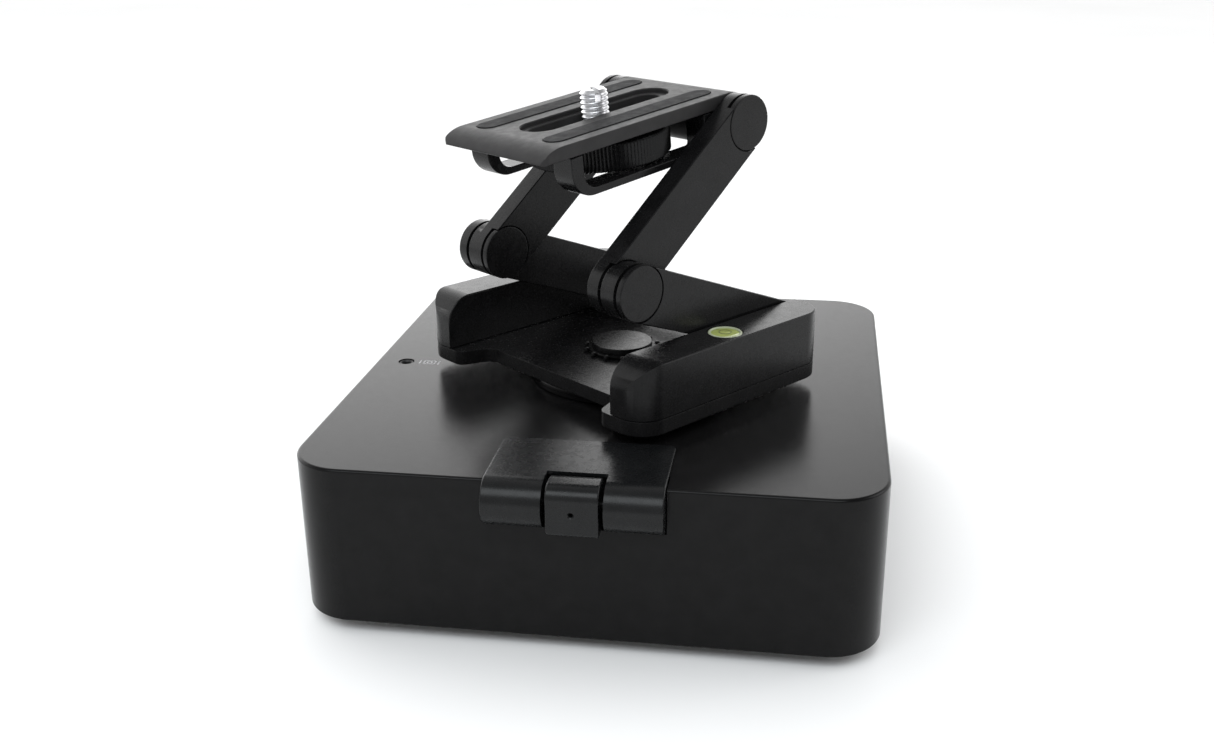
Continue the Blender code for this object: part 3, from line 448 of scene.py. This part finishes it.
def makeJack():
    x, y = casing["jack"]
    top = boxHeight - 0.3
    collar = [(2.70, top - 4.0), (2.70, top - 0.25), (2.45, top), (2.20, top), (1.95, top - 0.35),
              (1.75, top - 0.6), (1.75, top - 6.0), (2.40, top - 6.0), (2.40, top - 4.0)]
    ring = newPiece("jack_collar", turned("jack_collar", collar, 48, "z", (x, y), looped=True))
    fit(ring, boxFrame, "box", blackPlastic, "black_plastic", "trigger_jack")
    low = top - casing["jackCase"]
    case = newPiece("jack_case", slab("jack_case", rectangle(9, 9, 0.8, (x, y)), low, top - 3.3, 0.3))
    carve(case, slab("bore", circle(2.45, (x, y), 32), low + 2, top + 1))
    fit(case, boxFrame, "box", blackPlastic, "black_plastic")


pictogram = {"centre": (-73.5, 0.0), "width": 4.8, "depth": 3.8, "line": 0.5, "lens": 1.2, "bracket": 3.6,
             "lift": 0.02, "thick": 0.03}


def makePictogram():      # a plain camera outline with a bracket at each side
    x, y = pictogram["centre"]
    width, depth, line = pictogram["width"], pictogram["depth"], pictogram["line"]
    low, high = boxHeight + pictogram["lift"] - pictogram["thick"], boxHeight + pictogram["lift"]
    body = newPiece("pictogram_body", slab("body", rectangle(width, depth, 0.6, (x, y)), low, high))
    carve(body, slab("inside", rectangle(width - 2 * line, depth - 2 * line, 0.2, (x, y)), low - 1, high + 1))
    outer, inner = pictogram["lens"], pictogram["lens"] - line
    lens = [(outer, low), (outer, high), (inner, high), (inner, low)]
    pieces = [body, newPiece("pictogram_lens", turned("lens", lens, 32, "z", (x, y), looped=True))]
    for word, side in (("left", -1), ("right", 1)):
        bracket = rectangle(line, depth, 0.15, (x + side * pictogram["bracket"], y))
        pieces.append(newPiece("pictogram_" + word, slab("bracket", bracket, low, high)))
    for piece in pieces:
        fit(piece, boxFrame, "box", inkGrey, "black_anodised")


def makeHinge():
    radius, under = hinge["radius"], hingeTop - hinge["leaf"]
    start = math.asin((under - hingeZ) / radius)
    sweep = start + math.pi * 1.5
    side = [Vector((hinge["leafRear"], hingeTop)), Vector((hinge["leafRear"], under))]
    for k in range(65):
        angle = start - sweep * k / 64
        side.append(Vector((hingeY + radius * math.cos(angle), hingeZ + radius * math.sin(angle))))
    left, right = hinge["left"], hinge["right"]
    bracket = newPiece("hinge_bracket", slab("bracket", side, left, right, hinge["edge"], "x", 4))
    past, rear, curve, middle = 0.01, hinge["leafRear"] + 0.01, hinge["leafCorner"], hingeY + 20
    corner = arcCorners([(left - 1, -boxDepth, 0), (right + 1, -boxDepth, 0), (right + 1, middle, 0),
                         (right + past, middle, 0), (right + past, rear, curve), (left - past, rear, curve),
                         (left - past, middle, 0), (left - 1, middle, 0)])
    carve(bracket, slab("corner", corner, 0, boxHeight * 2), operation="INTERSECT")
    gapLeft = hinge["blockX"] - hinge["blockHalf"] - hinge["blockGap"]
    gapRight = hinge["blockX"] + hinge["blockHalf"] + hinge["blockGap"]
    pinLeft, pinRight = left + hinge["pinInset"], right - hinge["pinInset"]
    gap = hinge["pinGap"]
    outline = circle(hinge["pin"] + gap, (hingeY, hingeZ), 32)
    bore = slab("bore", outline, pinLeft - gap, pinRight + gap, 0, "x")
    leafEnd = hinge["leafCut"] - boxDepth / 2
    carve(bracket, blockMesh("leaf_gap", (gapLeft, -boxDepth, 0), (gapRight, leafEnd, boxHeight * 2)),
          blockMesh("barrel_gap", (gapLeft, -boxDepth, 0), (gapRight, hingeY + 2 * radius, under)), bore)
    fit(bracket, boxFrame, "box", hingeSatin, "black_anodised", "pointer_bracket")
    pin = slab("pin", circle(hinge["pin"], (hingeY, hingeZ), 32), pinLeft, pinRight, 0.2, "x")
    fit(newPiece("hinge_pin", pin), boxFrame, "box", dullSteel, "bright_steel", "pointer_hinge_pin")


def makePointer():
    radius, half = hinge["radius"], hinge["blockHalf"]
    square = [(0, radius, 0), (-radius, radius, 4.8), (-radius, -radius, 2.0), (0, -radius, 0)]
    side = arcCorners(square, 14)
    for k in range(1, 32):
        angle = -math.pi / 2 + math.pi * k / 32
        side.append(Vector((radius * math.cos(angle), radius * math.sin(angle))))
    block = newPiece("pointer", slab("pointer", side, -half, half, 0.45, "x", 4))
    x, z = hinge["pinhole"]
    mouth = [(0.7, -4.0), (0.7, -radius + 0.35), (1.05, -radius), (1.2, -radius - 1)]
    carve(block, slab("bore", circle(hinge["pin"] + hinge["pinGap"], (0, 0), 32), -20, 20, 0, "x"),
          turned("pinhole", mouth, 32, "y", (z, x)))
    fit(block, pointerFrame, "pointer", hingeSatin, "black_anodised", "pointer_block")
    glass = [(0.62, -5.6), (0.62, -4.2)]
    lens = newPiece("pointer_glass", turned("lens", glass, 32, "y", (z, x)))
    fit(lens, pointerFrame, "pointer", darkLens, "pointer_lens", "pointer_lens")


def makeRearControls():
    x, z = casing["button"]
    face = boxDepth / 2
    profile = [(6.2, face - 5.0), (6.2, face - 4.0), (5.0, face - 4.0), (5.0, face - 0.9),
               (4.8, face - 0.55), (4.4, face - 0.35), (3.4, face - 0.5), (2.0, face - 0.75)]
    button = newPiece("rear_button", turned("button", profile, 64, "y", (z, x)))
    fit(button, boxFrame, "power_button", blackPlastic, "black_plastic", "power_button")
    px, pz = casing["port"]
    case = slab("shroud", rectangle(3.0, 9.0, 1.48, (pz, px)), face - 9, face - 0.3, 0.1, "y")
    shroud = newPiece("port_shroud", case)
    carve(shroud, slab("mouth", rectangle(2.4, 8.4, 1.18, (pz, px)), face - 8, face + 1, 0, "y"))
    fit(shroud, boxFrame, "box", brightSteel, "bright_steel", "charge_port")
    tab = slab("tongue", rectangle(0.7, 6.6, 0.3, (pz, px)), face - 8.4, face - 1.6, 0.1, "y")
    fit(newPiece("port_tongue", tab), boxFrame, "box", blackPlastic, "black_plastic")


makeCasing()
makeJack()
makePictogram()
makeHinge()
makePointer()
makeRearControls()
print("casing made")


# head base

head = {"table": 33.5, "tableLow": 54.2, "tableHigh": 57.5, "hub": 9.0, "hubLow": 36.0, "stemHole": 5.06,
        "baseLow": 57.8, "baseHigh": 63.0, "half": 58.0, "front": -46.0, "rear": 44.7, "corner": 10.0,
        "notchHalf": 35.8, "notchDepth": 11.7, "wallInner": 43.1, "wallHigh": 82.0, "wallNose": 10.0,
        "rearPivot": (38.5, 72.6), "bore": 4.3, "shaftEnd": 52.3, "edge": 0.5, "parting": 0.1, "gap": 0.3}
level = {"radius": 5.8, "u": 50.55, "depth": 4.0, "gap": 0.3}
clamp = {"radius": 11.0, "high": 66.3, "low": 63.3, "stem": 4.76, "stemLow": 48.5, "skirt": 12.5,
         "lugs": 14, "lugAt": 13.3, "firstLug": 0.35}


def makeTurntable():
    r, low, high = head["table"], head["tableLow"], head["tableHigh"]
    profile = [(head["hub"], head["hubLow"]), (head["hub"], low), (r - 0.5, low), (r - 0.15, low + 0.15),
               (r, low + 0.5), (r, low + 1.5), (r - 0.3, low + 1.6), (r - 0.3, low + 1.9), (r, low + 2.0),
               (r, high - 0.6), (r - 0.2, high - 0.2), (r - 0.6, high)]
    table = newPiece("turntable", turned("turntable", profile, 144))
    carve(table, slab("stem_hole", circle(head["stemHole"]), 48, 70))
    fit(table, headFrame, "pan_head", satinTop, "black_anodised", "pan_turntable")


def baseOutline():
    half, front, rear, corner = head["half"], head["front"], head["rear"], head["corner"]
    notch, slope, back = head["notchHalf"], 2.2, head["front"] + head["notchDepth"]
    return arcCorners([(-half, front, corner), (-notch - slope, front, 4.0), (-notch + slope, back, 5.0),
                       (notch - slope, back, 5.0), (notch + slope, front, 4.0), (half, front, corner),
                       (half, rear, corner), (-half, rear, corner)], 16)


def makeBase():
    low, high = head["baseLow"], head["baseHigh"]
    mesh = slab("base", baseOutline(), low, high, head["edge"], topEdge=head["parting"])
    base = newPiece("base_plate", mesh)
    carve(base, slab("stem_hole", circle(head["stemHole"]), 50, 70))
    fit(base, headFrame, "pan_head", satinHead, "black_anodised", "head_base")


def makeWall(name, node, side):
    inner, outer = side * head["wallInner"], side * head["half"]
    front, rear, top, edge = head["front"], head["rear"], head["wallHigh"], head["edge"]
    plan = arcCorners([(inner, front, 0), (outer, front, head["corner"]), (outer, rear, head["corner"]),
                       (inner, rear, 0)], 16)
    foot = head["baseHigh"] + head["gap"]
    wall = newPiece(name, slab("plan", plan, foot, top, head["parting"], topEdge=edge))
    profile = arcCorners([(front - 0.02, 0, 0), (rear + 1, 0, 0), (rear + 1, top + 0.02, 0),
                          (front - 0.02, top + 0.02, head["wallNose"])], 20)
    low, high = sorted((inner - side * 0.02, outer + side * 0.02))
    carve(wall, slab("profile", profile, low, high, edge, "x"), operation="INTERSECT")
    low, high = sorted((side * 30, side * head["shaftEnd"]))
    cuts = [slab("pin_bore", circle(head["bore"], head["rearPivot"], 48), low, high, 0, "x")]
    if side > 0:
        outline = circle(level["radius"] + level["gap"], (level["u"], 0))
        cuts.append(slab("level_pocket", outline, top - level["depth"] - level["gap"], top + 9))
    carve(wall, *cuts)
    fit(wall, headFrame, "pan_head", satinHead, "black_anodised", node)


def makeLevel():
    top, r, centre = head["wallHigh"], level["radius"], (level["u"], 0)
    rim = [(r, top - level["depth"]), (r, top - 0.25), (r - 0.25, top), (r - 0.7, top), (r - 0.95, top - 0.2),
           (r - 0.95, top - 1.2), (0.5, top - 1.2), (0.5, top - level["depth"])]
    fit(newPiece("level_rim", turned("rim", rim, 72, "z", centre)), headFrame, "pan_head", levelRim,
        "level_liquid", "bubble_level")
    vial = [(r - 1.0, top - 1.15), (r - 1.0, top - 0.35), (r - 1.4, top - 0.2), (r - 2.6, top - 0.1),
            (0.4, top - 0.06)]
    fit(newPiece("level_vial", turned("vial", vial, 72, "z", centre)), headFrame, "pan_head", levelLiquid,
        "level_liquid")
    ring = [(2.15, top - 0.10), (2.15, top), (2.0, top), (2.0, top - 0.10)]
    fit(newPiece("level_ring", turned("ring", ring, 48, "z", centre, looped=True)), headFrame, "pan_head",
        blackPlastic, "black_plastic")
    bubble = [(1.1, top - 0.09), (1.0, top - 0.05), (0.6, top - 0.01), (0.2, top)]
    offCentre = (level["u"] + 0.5, 0.4)
    fit(newPiece("level_bubble", turned("bubble", bubble, 40, "z", offCentre)), headFrame, "pan_head",
        levelLiquid, "level_liquid")


def makeClamp():      # a plain disc over a lower ring with small round lugs
    r, low, high = clamp["radius"], clamp["low"], clamp["high"]
    stem, skirt = clamp["stem"], clamp["skirt"]
    body = [(stem, clamp["stemLow"]), (stem, low), (skirt - 0.3, low), (skirt, low + 0.3), (skirt, low + 0.6),
            (skirt - 0.3, low + 0.8), (r - 0.25, low + 0.9), (r, low + 1.1), (r, high - 0.35),
            (r - 0.12, high - 0.1), (r - 0.35, high)]
    knobPiece = newPiece("clamp_disc", turned("clamp", body, 128))
    dome = [(0.95, low + 0.05), (1.0, low + 0.8), (0.85, low + 1.2), (0.45, low + 1.4)]
    lugs = []
    for k in range(clamp["lugs"]):
        angle = 2 * math.pi * (k + clamp["firstLug"]) / clamp["lugs"]
        centre = (clamp["lugAt"] * math.cos(angle), clamp["lugAt"] * math.sin(angle))
        lugs.append(turned("lug", dome, 20, "z", centre))
    carve(knobPiece, *lugs, operation="UNION")
    fit(knobPiece, headFrame, "clamp", satinHead, "black_anodised", "clamp_knob")


makeTurntable()
makeBase()
makeWall("wall_near", "side_wall_near", 1)
makeWall("wall_far", "side_wall_far", -1)
makeLevel()
makeClamp()
print("head base made")


# folding arms

arms = {"half": 9.4, "recess": 9.8, "bore": 4.3, "lowerInner": 34.8, "lowerOuter": 42.4,
        "upperInner": 26.4, "upperOuter": 34.2, "nearSplit": (31.6, 32.8), "farSplit": (36.9, 38.2),
        "knuckleFoot": 3.0, "capFloor": 3.4, "capThick": 2.2, "capNeck": 7.5, "capGap": 0.3, "edge": 0.35,
        "wall": 1.0}


def knuckle(name, low, high, centre):
    return slab(name, circle(arms["half"], centre, 72), low, high, arms["edge"], "x")


def hole(name, radius, low, high, centre):
    return slab(name, circle(radius, centre, 72), low, high, 0, "x")


def makeLowerArms():
    bar = barOutline((0, 0), midPlace, arms["half"])
    inner, outer = arms["lowerInner"], arms["lowerOuter"]
    near = newPiece("lower_link_near", slab("bar", bar, inner, outer, arms["edge"], "x"))
    boss = knuckle("knuckle", arms["nearSplit"][1], outer - arms["knuckleFoot"], midPlace)
    carve(near, boss, operation="UNION")
    carve(near, hole("cap_recess", arms["recess"], outer - arms["capFloor"], 50, midPlace),
          hole("mid_bore", arms["bore"], 20, 50, midPlace), hole("rear_bore", arms["bore"], 20, 50, (0, 0)))
    fit(near, lowerFrame, "lower_arms", satinHead, "black_anodised", "lower_arm_near")
    far = newPiece("lower_link_far", slab("bar", bar, -outer, -inner, arms["edge"], "x"))
    carve(far, hole("upper_room", arms["recess"], -arms["farSplit"][1], -20, midPlace),
          hole("mid_bore", arms["bore"], arms["wall"] - outer, -20, midPlace),
          hole("rear_bore", arms["bore"], -50, -20, (0, 0)))
    fit(far, lowerFrame, "lower_arms", satinHead, "black_anodised", "lower_arm_far")


def makeUpperArms():
    bar = barOutline((0, 0), topPlace, arms["half"])
    inner, outer = arms["upperInner"], arms["upperOuter"]
    near = newPiece("upper_link_near", slab("bar", bar, inner, outer, arms["edge"], "x"))
    carve(near, hole("lower_room", arms["recess"], arms["nearSplit"][0], 50, (0, 0)),
          hole("mid_bore", arms["bore"], inner + arms["wall"], 50, (0, 0)),
          hole("top_recess", arms["recess"], outer - arms["capFloor"], 50, topPlace),
          hole("top_bore", arms["bore"], 20, 50, topPlace))
    fit(near, upperFrame, "upper_arms", satinHead, "black_anodised", "upper_arm_near")
    far = newPiece("upper_link_far", slab("bar", bar, -outer, -inner, arms["edge"], "x"))
    boss = knuckle("knuckle", -arms["farSplit"][0], -inner - arms["knuckleFoot"], (0, 0))
    carve(far, boss, operation="UNION")
    carve(far, hole("cap_recess", arms["recess"], -inner - arms["capFloor"], -20, (0, 0)),
          hole("mid_bore", arms["bore"], -50, -20, (0, 0)),
          hole("top_recess", arms["recess"], -50, arms["capFloor"] - outer, topPlace),
          hole("top_bore", arms["bore"], -50, -20, topPlace))
    fit(far, upperFrame, "upper_arms", satinHead, "black_anodised", "upper_arm_far")


def makeCap(name, node, place, body, centre, face, side):      # side is +1 when the cap faces the near side
    r, neck, thick = arms["half"], arms["capNeck"], arms["capThick"]
    depths = [(neck, arms["capFloor"] - arms["capGap"]), (neck, thick), (r - 0.15, thick), (r, thick - 0.15),
              (r, 0.35), (r - 0.12, 0.12), (r - 0.4, 0.0)]
    profile = [(radius, face - side * depth) for radius, depth in depths]
    mesh = turned(name, profile, 96, "x", centre)
    fit(newPiece(name, mesh), place, body, satinHead, "black_anodised", node)


makeLowerArms()
makeUpperArms()
makeCap("cap_near_mid", "lower_cap_near", lowerFrame, "lower_arms", midPlace, arms["lowerOuter"], 1)
makeCap("cap_far_mid", "mid_cap_far", upperFrame, "upper_arms", (0, 0), -arms["upperInner"], 1)
makeCap("cap_near_top", "top_cap_near", upperFrame, "upper_arms", topPlace, arms["upperOuter"], 1)
makeCap("cap_far_top", "top_cap_far", upperFrame, "upper_arms", topPlace, -arms["upperOuter"], -1)
print("arms made")


# camera plate

plate = {"half": 25.9, "top": 9.5, "under": 5.0, "front": -84.3, "nose": 9.0, "noseDrop": 4.5,
         "corner": 2.5, "barrel": 9.4, "bore": 4.3, "edge": 0.35, "stripU": 17.0, "stripHalf": 4.0,
         "strip": (-75.0, -2.2), "stripDepth": 1.0, "stripGap": 0.3, "recessHalf": 7.25,
         "recess": (-69.7, -6.8), "recessDepth": 1.5, "slotHalf": 5.1, "slot": (-67.2, -10.0)}
guard = {"inner": 17.0, "bottom": -9.0, "rail": 2.4, "front": -73.2, "rear": -9.9, "frontPost": 5.0,
         "rearPost": 3.5, "gap": 0.3, "edge": 0.3}


def flared(name, span, half, low, high, flare=0.35):      # a slot cutter that opens out at the surface
    outline = barOutline((0, span[0] + half), (0, span[1] - half), half, 32)
    rows = [(low, 0.0), (high - flare, 0.0), (high, flare), (high + 3, flare)]
    return skin(name, [[(p.x, p.y, height) for p in grown(outline, inset)] for height, inset in rows])


def makePlate():
    top, under, front, barrel = plate["top"], plate["under"], plate["front"], plate["barrel"]
    sweep = math.pi * 1.5 + math.asin(under / barrel)
    side = [Vector((0, top))]
    for k in range(81):
        angle = math.pi / 2 - sweep * k / 80
        side.append(Vector((barrel * math.cos(angle), barrel * math.sin(angle))))
    nose, drop, half = plate["nose"], plate["noseDrop"], plate["half"]
    side.append(Vector((front + 0.5, under)))
    side.append(Vector((front, top - drop + 0.3)))
    for k in range(1, 25):
        angle = math.pi / 2 * k / 24
        side.append(Vector((front + nose * (1 - math.cos(angle)), top - drop * (1 - math.sin(angle)))))
    piece = newPiece("plate", slab("side", side, -half, half, plate["edge"], "x"))
    plan = arcCorners([(-half, front, plate["corner"]), (half, front, plate["corner"]), (half, 20, 0),
                       (-half, 20, 0)], 12)
    carve(piece, slab("plan", plan, -20, 20), operation="INTERSECT")
    carve(piece, slab("axle_bore", circle(plate["bore"]), -30, 30, 0, "x"))
    cuts = []
    for hand in (-1, 1):
        u, end = hand * plate["stripU"], plate["stripHalf"]
        outline = barOutline((u, plate["strip"][0] + end), (u, plate["strip"][1] - end),
                             end + plate["stripGap"])
        cuts.append(slab("strip_slot", outline, top - plate["stripDepth"], 20))
    carve(piece, *cuts)
    carve(piece, flared("recess", plate["recess"], plate["recessHalf"], top - plate["recessDepth"], top),
          flared("slot", plate["slot"], plate["slotHalf"], -1, top - plate["recessDepth"], 0.25))
    fit(piece, plateFrame, "camera_plate", plateTop, "black_anodised", "top_plate")


def makeStrip(name, node, hand):
    u, end = hand * plate["stripU"], plate["stripHalf"]
    outline = barOutline((u, plate["strip"][0] + end), (u, plate["strip"][1] - end), end)
    low, high = plate["top"] - plate["stripDepth"] + plate["stripGap"], plate["top"] + plate["stripGap"]
    mesh = slab(name, outline, low, high, 0.22)
    fit(newPiece(name, mesh), plateFrame, "camera_plate", stripRubber, "black_rubber", node)


def makeGuard(name, node, hand):
    top, bottom, front, rear = plate["under"] - guard["gap"], guard["bottom"], guard["front"], guard["rear"]
    inner = bottom + guard["rail"]
    innerFront, innerRear = front + guard["frontPost"], rear - guard["rearPost"]
    outline = arcCorners([(front, top, 0), (front, bottom, 8.7), (rear, bottom, 2.0), (rear, top, 0),
                          (innerRear, top, 0), (innerRear, inner, 1.0), (innerFront, inner, 5.0),
                          (innerFront, top, 0)], 14)
    low, high = sorted((hand * guard["inner"], hand * plate["half"]))
    fit(newPiece(name, slab(name, outline, low, high, guard["edge"], "x")), plateFrame, "camera_plate",
        satinHead, "black_anodised", node)


makePlate()
for word, hand in (("near", 1), ("far", -1)):
    makeStrip("strip_" + word, "rubber_strip_" + word, hand)
    makeGuard("guard_" + word, "plate_guard_" + word, hand)
print("camera plate made")


# camera screw

screw = {"radius": 4.76, "top": 16.6, "low": -5.7, "threadLow": 3.9, "pitch": 1.5875, "depth": 0.75,
         "rows": 14, "sides": 64, "tip": 1.1, "slotWidth": 1.9, "slotDepth": 3.6, "slotTurn": -24}
knob = {"radius": 24.7, "bore": 5.06, "top": 3.6, "low": -6.2, "teeth": 120, "tooth": 0.55}


def makeScrew():
    radius, top, low, pitch = screw["radius"], screw["top"], screw["low"], screw["pitch"]
    threadLow, plain = screw["threadLow"], screw["radius"] - 0.2
    angles = [2 * math.pi * k / screw["sides"] for k in range(screw["sides"])]
    rings = [[(plain * math.cos(a), plain * math.sin(a), z) for a in angles] for z in (low, threadLow)]
    count = int((top - threadLow) / (pitch / screw["rows"]))
    for k in range(1, count + 1):
        z = threadLow + (top - threadLow) * k / count
        ring = []
        for angle in angles:
            turn = (z / pitch - angle / (2 * math.pi)) % 1.0
            ridge = (0.5 + 0.5 * math.cos(2 * math.pi * turn)) ** 0.7
            reach = radius - screw["depth"] * (1 - ridge)
            reach = min(reach, radius - screw["tip"] + max(0.0, top - z) * screw["tip"])
            ring.append((reach * math.cos(angle), reach * math.sin(angle), z))
        rings.append(ring)
    piece = newPiece("stud", skin("stud", rings))
    half = screw["slotWidth"] / 2
    slot = blockMesh("driver_slot", (-10, -half, top - screw["slotDepth"]), (10, half, top + 1))
    slot.transform(Matrix.Rotation(math.radians(screw["slotTurn"]), 4, "Z"))
    carve(piece, slot)
    fit(piece, screwFrame, "camera_screw", brightSteel, "bright_steel", "camera_screw")


def makeKnob():
    r, top, low, bore = knob["radius"], knob["top"], knob["low"], knob["bore"]
    rows = [(bore, low), (r - 3.0, low), (r - 2.6, low + 0.3), (r - 1.4, low + 0.3), (r - 0.5, low + 0.5),
            (r, low + 1.1), (r, top - 1.1), (r - 0.5, top - 0.5), (r - 1.4, top - 0.3), (r - 2.4, top),
            (bore, top)]
    dents = (1, 0.55, 0, 0.55)      # one rib of the grip
    sides = knob["teeth"] * len(dents)
    rings = []
    for radius, height in rows:
        knurl = max(0.0, min(1.0, (radius - r + 1.0) / 0.6))      # none on the flat faces
        ring = []
        for k in range(sides):
            angle = 2 * math.pi * k / sides
            dent = knob["tooth"] * knurl * dents[k % len(dents)]
            ring.append(((radius - dent) * math.cos(angle), (radius - dent) * math.sin(angle), height))
        rings.append(ring)
    fit(newPiece("knurled_knob", skin("knob", rings, looped=True)), screwFrame, "camera_screw", satinHead,
        "black_anodised", "camera_knob")


makeScrew()
makeKnob()
print("camera screw made")


# wheels

wheel = {"radius": 17.0, "rim": 13.3, "half": 5.0, "grooveAt": 1.6, "groove": 0.7, "web": 1.4, "nub": 8.3,
         "boss": 6.1, "windows": 5, "window": 2.1, "windowAt": 7.6}


def makeTyre(number):
    r, half = wheel["radius"], wheel["half"]
    profile = [(wheel["rim"], -half), (r - 1.6, -half), (r - 0.5, -half + 0.5), (r, -half + 1.6)]
    deep = r - wheel["groove"]
    for at in (-wheel["grooveAt"], wheel["grooveAt"]):
        profile += [(r, at - 0.5), (deep, at - 0.3), (deep, at + 0.3), (r, at + 0.5)]
    profile += [(r, half - 1.6), (r - 0.5, half - 0.5), (r - 1.6, half), (wheel["rim"], half)]
    place = Matrix.Translation(pivot(f"wheel_roll_{number}"))
    mesh = turned("tyre", profile, 96, "x", looped=True)
    fit(newPiece(f"tread_{number}", mesh), place, f"wheel_{number}", tyreRubber, "black_rubber",
        f"tyre_{number}")


def makeHub(number):
    rim, web = wheel["rim"] - 0.3, wheel["web"]
    nub, side = wheel["nub"], wheel["boss"]      # the nubs turn in the fork's arms
    half = [(rim, 4.7), (rim - 1.7, 4.7), (rim - 2.0, 4.4), (rim - 2.6, web), (4.5, web), (4.5, side - 0.2),
            (4.3, side), (1.9, side), (1.9, nub - 0.2), (1.7, nub)]
    profile = [(radius, -height) for radius, height in reversed(half)] + half
    piece = newPiece(f"hub_{number}", turned("hub", profile, 96, "x"))
    windows = []
    for k in range(wheel["windows"]):
        angle = 2 * math.pi * k / wheel["windows"]
        centre = (wheel["windowAt"] * math.cos(angle), wheel["windowAt"] * math.sin(angle))
        windows.append(slab("window", circle(wheel["window"], centre, 28), -3, 3, 0, "x"))
    carve(piece, *windows)
    place = Matrix.Translation(pivot(f"wheel_roll_{number}"))
    fit(piece, place, f"wheel_{number}", blackPlastic, "black_plastic", f"wheel_hub_{number}")


for number in (1, 2, 3):
    makeTyre(number)
    makeHub(number)
print("wheels made")


# floor, light and camera

sky = {"front": 0.22, "above": 0.30, "right": 0.45, "strength": 2.9}
view = {"from": (0.0661, -0.4444, 0.2258), "yaw": 0.1603, "pitch": 0.3704, "roll": -0.0108, "lens": 38.63}


def makeFloor():
    mesh = slab("floor", rectangle(12000, 12000, 0, steps=1), -20, 0)
    mesh.transform(Matrix.Scale(0.001, 4))
    floor = newPiece("floor", mesh)
    finish = Finish("pale floor", (0.9, 0.9, 0.9), 0.8, specular=0.1)
    finish.colours(finish.noise(3, 3.0), (0.86, 0.86, 0.86), (0.89, 0.89, 0.89))
    finish.bump((finish.noise(300, 2.0), 0.00002))
    mesh.materials.append(finish.material)


def makeWorld():      # bright low behind the object, dimmer above and in front
    world = bpy.data.worlds.new("studio")
    bpy.context.scene.world = world
    world.use_nodes = True
    tree = world.node_tree
    split = tree.nodes.new("ShaderNodeSeparateXYZ")
    tree.links.new(tree.nodes.new("ShaderNodeTexCoord").outputs["Generated"], split.inputs[0])
    factors = []
    fades = (("Y", -0.6, 0.7, sky["front"], 1.0), ("Z", 0.40, 0.75, 1.0, sky["above"]),
             ("X", -0.15, 0.35, 1.0, sky["right"]))
    for axis, low, high, start, end in fades:
        step = tree.nodes.new("ShaderNodeMapRange")
        step.interpolation_type = "SMOOTHSTEP"
        for key, value in (("From Min", low), ("From Max", high), ("To Min", start), ("To Max", end)):
            step.inputs[key].default_value = value
        tree.links.new(split.outputs[axis], step.inputs["Value"])
        factors.append(step.outputs["Result"])
    total = None
    for factor in factors:
        step = tree.nodes.new("ShaderNodeMath")
        step.operation = "MULTIPLY"
        step.inputs[1].default_value = sky["strength"]
        tree.links.new(factor, step.inputs[0])
        if total:
            tree.links.new(total, step.inputs[1])
        total = step.outputs["Value"]
    tree.links.new(total, tree.nodes["Background"].inputs["Strength"])
    tree.nodes["Background"].inputs["Color"].default_value = (1, 1, 1, 1)


def floorLight():      # wide and soft, and kept out of the reflections
    data = bpy.data.lights.new("floor light", "SUN")
    data.energy = 1.2
    data.angle = math.radians(110)
    lamp = bpy.data.objects.new("floor light", data)
    lamp.rotation_euler = (math.radians(-14), math.radians(-6), 0)
    lamp.visible_glossy = False
    bpy.context.scene.collection.objects.link(lamp)


def softLight(name, place, target, size, power, tint=(1, 1, 1)):
    data = bpy.data.lights.new(name, "AREA")
    data.shape = "RECTANGLE"
    data.size, data.size_y = size
    data.energy = power
    data.color = tint
    lamp = bpy.data.objects.new(name, data)
    lamp.location = place
    lamp.rotation_euler = (Vector(target) - Vector(place)).to_track_quat("-Z", "Y").to_euler()
    bpy.context.scene.collection.objects.link(lamp)


def makeCamera():
    data = bpy.data.cameras.new("camera")
    data.sensor_width = 36
    data.lens = view["lens"]
    data.clip_start = 0.01
    camera = bpy.data.objects.new("camera", data)
    turn = Matrix.Rotation(view["yaw"], 4, "Z") @ Matrix.Rotation(math.pi / 2 - view["pitch"], 4, "X")
    turn = turn @ Matrix.Rotation(view["roll"], 4, "Z")
    turn.translation = boxCentre + Vector(view["from"])
    camera.matrix_world = turn
    bpy.context.scene.collection.objects.link(camera)
    bpy.context.scene.camera = camera


makeFloor()
makeWorld()
floorLight()
softLight("side light", (1.2, 0.2, 0.7), (0, 0, 0.08), (0.8, 0.8), 4)
softLight("front light", (-0.1, -1.0, 1.2), (0, 0, 0.05), (1.5, 0.7), 13, (0.92, 0.97, 1.0))
makeCamera()
bpy.context.scene.view_settings.view_transform = "Standard"
print("studio made")
